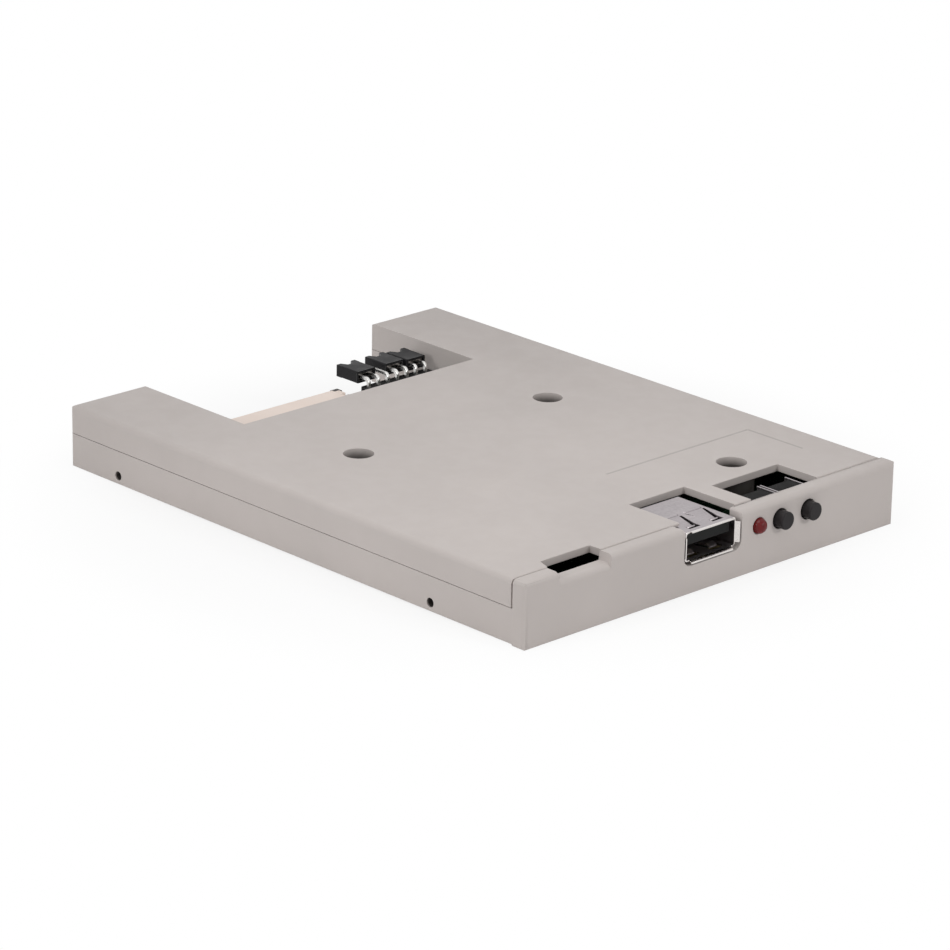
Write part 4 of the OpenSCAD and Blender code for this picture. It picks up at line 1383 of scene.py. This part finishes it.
@dataclass
class Case:
    """The tray with the bezel, the cover and the screws in its wells."""

    edge_mm: float = 0.14
    screw_edge_mm: float = 0.08

    def build(self, palette: Palette) -> None:
        """Builds the shells and the screws.

        Args:
            palette: the finishes.
        """
        for node, material in (
            ("top_cover", "case_plastic_cover"), ("bottom_tray", "case_plastic_tray")
        ):
            stand_in(node, f"{node}_shell", palette[material], self.edge_mm)
        steel = palette["screw_steel"]
        stand_in("cover_screws", "cover_screw_set", steel, self.screw_edge_mm)


@dataclass
class MainBoard:
    """The board and what is soldered on it."""

    chip_edge_mm: float = 0.06
    board_top_mm: float = 5.6
    print_mm: float = 0.025
    print_sunk_mm: float = 0.01
    print_edge_mm: float = 0.004
    line_mm: float = 0.16
    outlines: tuple[tuple[float, float, float, float], ...] = (
        (9.6, 28.3, 103.8, 107.2),
        (-29.35, 6.4, 101.7, 107.5),
        (-15.1, -4.1, 42.7, 53.7),
        (-27.5, -18.3, 74.0, 83.6),
        (-17.7, -8.0, 74.0, 83.6),
        (5.5, 17.6, 45.3, 51.1),
    )
    dot: Pairs = ((0.0, 0.0), (0.32, 0.0), (0.3, 0.012), (0.0, 0.012))
    dot_places_mm: tuple[Triple, ...] = (
        (-12.4, 45.4, 7.098), (-26.2, 75.2, 7.198), (-16.4, 75.2, 7.198)
    )

    def build(self, palette: Palette) -> None:
        """Dresses the board and its parts.

        Args:
            palette: the finishes.
        """
        dress("main_board", palette["coated_board"])
        for node in ("controller_chip", "logic_chips", "voltage_regulator"):
            black = palette["chip_black"]
            stand_in(node, f"{node}_body", black, self.chip_edge_mm)
        for node, material in (
            ("controller_pins", "tinned_metal"), ("logic_chip_pins", "tinned_metal"),
            ("crystal", "can_aluminium"), ("can_capacitors", "can_aluminium"),
            ("chip_capacitors", "capacitor_ceramic"), ("chip_resistors", "resistor_film"),
        ):
            dress(node, palette[material])
        self._print(palette["white_print"])

    def _print(self, white: bpy.types.Material) -> None:
        """Prints the white outlines on the board and the first-pin dots on the chips.

        Args:
            white: the print's material.
        """
        half = self.line_mm / 2
        low, high = self.board_top_mm - self.print_sunk_mm, self.board_top_mm + self.print_mm
        strips = []
        for x0, x1, y0, y1 in self.outlines:
            for a, b, c, d in (
                (x0, x1, y0, y0), (x0, x1, y1, y1), (x0, x0, y0, y1), (x1, x1, y0, y1)
            ):
                start, end = place(a - half, c - half, low), place(b + half, d + half, high)
                strips.append(block(start, end, self.print_edge_mm))
        finished("board_printed_outlines", gathered(strips), DRIVE, white, smooth=False)
        dots = [turned(self.dot, place(*where), UP) for where in self.dot_places_mm]
        finished("chip_first_pin_dots", gathered(dots), DRIVE, white)


@dataclass
class SolderJoints:
    """The solder round the leads under the board."""

    cone: Pairs = (
        (0.0, -0.02), (0.8, -0.02), (0.8, 0.03), (0.56, 0.12),
        (0.42, 0.34), (0.36, 0.62), (0.24, 0.72), (0.0, 0.74),
    )
    board_low_mm: float = 4.0
    header_x_mm: float = 11.29
    header_y_mm: float = 105.5
    header_pitch_mm: float = 2.54
    header_pins: int = 7
    switch_xs_mm: tuple[float, ...] = (15.02, 18.17, 22.52, 25.67)
    switch_y_mm: float = 7.95

    def build(self, palette: Palette) -> None:
        """Builds the joints.

        Args:
            palette: the finishes.
        """
        header_xs = [self.header_x_mm + self.header_pitch_mm * i for i in range(self.header_pins)]
        for name, xs, y in (
            ("header_solder_joints", header_xs, self.header_y_mm),
            ("switch_solder_joints", self.switch_xs_mm, self.switch_y_mm),
        ):
            joints = [turned(self.cone, place(x, y, self.board_low_mm), DOWN) for x in xs]
            finished(name, gathered(joints), DRIVE, palette["solder_tin"])


@dataclass
class StickSocket:
    """The plated shell, its tongue and its contacts."""

    shell_edge_mm: float = 0.05
    lip_depth_mm: float = 0.75
    tongue_edge_mm: float = 0.08

    def build(self, palette: Palette) -> None:
        """Builds the socket, with a brighter lip on its shell.

        Args:
            palette: the finishes.
        """
        shell = stand_in(
            "socket_shell", "socket_shell_pressed", palette["shell_steel"],
            self.shell_edge_mm,
        )
        shell.data.materials.append(palette["lip_steel"])
        lip_end = place(0, self.lip_depth_mm, 0).y
        for face in shell.data.polygons:
            if face.center.y < lip_end:
                face.material_index = 1
        stand_in(
            "socket_tongue", "socket_tongue_block", palette["tongue_black"],
            self.tongue_edge_mm,
        )
        dress("socket_contacts", palette["gold_plate"])


@dataclass
class Lamp:
    """The red lamp and the metal inside it."""

    lens_edge_mm: float = 0.06
    middle: Vector = field(default_factory=lambda: place(10.9, 0, 8.85))
    cup: Pairs = (
        (0.0, 3.4), (0.45, 3.4), (0.5, 2.4), (0.75, 1.9),
        (0.8, 1.5), (0.68, 1.5), (0.35, 1.95), (0.0, 1.95),
    )

    def build(self, palette: Palette) -> None:
        """Builds the lens and the reflector cup and dresses the leads.

        Args:
            palette: the finishes.
        """
        red, tinned = palette["lamp_red"], palette["tinned_metal"]
        stand_in("lamp_lens", "lamp_lens_dome", red, self.lens_edge_mm)
        dress("lamp_leads", tinned)
        cup = turned(self.cup, self.middle, REARWARD)
        finished("lamp_reflector_cup", cup, DRIVE, tinned)


@dataclass
class Switches:
    """The two push switches behind the bezel and their buttons."""

    button_edge_mm: float = 0.25
    button_segments: int = 3
    housing_edge_mm: float = 0.1
    bracket_edge_mm: float = 0.06

    def build(self, palette: Palette) -> None:
        """Builds both switches.

        Args:
            palette: the finishes.
        """
        steel = palette["shell_steel"]
        for side in ("left", "right"):
            button, housing = f"button_{side}", f"switch_housing_{side}"
            bracket = f"switch_bracket_{side}"
            stand_in(
                button, f"{button}_knob", palette["button_black"],
                self.button_edge_mm, f"{side}_button", self.button_segments,
            )
            stand_in(
                housing, f"{housing}_block", palette["switch_black"],
                self.housing_edge_mm,
            )
            stand_in(bracket, f"{bracket}_plate", steel, self.bracket_edge_mm)
            dress(f"switch_dome_{side}", steel)
        dress("switch_pins", palette["tinned_metal"])


@dataclass
class RibbonConnector:
    """The cream cable connector with its dark slider."""

    edge_mm: float = 0.1

    def build(self, palette: Palette) -> None:
        """Builds the connector.

        Args:
            palette: the finishes.
        """
        cream, dark = palette["cream_plastic"], palette["slider_dark"]
        stand_in("ribbon_housing", "ribbon_housing_block", cream, self.edge_mm)
        stand_in(
            "ribbon_slider", "ribbon_slider_bar", dark, self.edge_mm,
            "cable_slider",
        )
        dress("ribbon_contacts", palette["gold_plate"])
        dress("ribbon_solder_tabs", palette["tinned_metal"])


@dataclass
class JumperHeader:
    """The bent pins in their black base and the three caps on them."""

    base_edge_mm: float = 0.08
    pin_edge_mm: float = 0.05
    cap_edge_mm: float = 0.12

    def build(self, palette: Palette) -> None:
        """Builds the header.

        Args:
            palette: the finishes.
        """
        base, tinned = palette["base_black"], palette["tinned_metal"]
        stand_in("header_base", "header_base_strip", base, self.base_edge_mm)
        stand_in("header_pins", "header_pin_row", tinned, self.pin_edge_mm)
        for letter in "abc":
            stand_in(
                f"jumper_cap_{letter}", f"jumper_cap_{letter}_hood",
                palette["cap_black"], self.cap_edge_mm, f"cap_{letter}",
            )
            dress(f"jumper_clip_{letter}", palette["clip_steel"])


def main() -> None:
    """Builds the scene round the frame."""
    logging.basicConfig(level=logging.INFO, format="%(message)s")
    for thing in list(bpy.data.objects):
        bpy.data.objects.remove(thing)
    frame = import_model()
    NODES.update(frame["nodes"])
    bpy.context.scene.view_settings.view_transform = "Standard"
    palette = build_palette(EffectLibrary())
    for part in (
        Case(), MainBoard(), SolderJoints(), StickSocket(),
        Lamp(), Switches(), RibbonConnector(), JumperHeader(),
    ):
        part.build(palette)
        LOG.info("built %s", type(part).__name__)
    Studio().build()


if __name__ == "__main__":
    main()
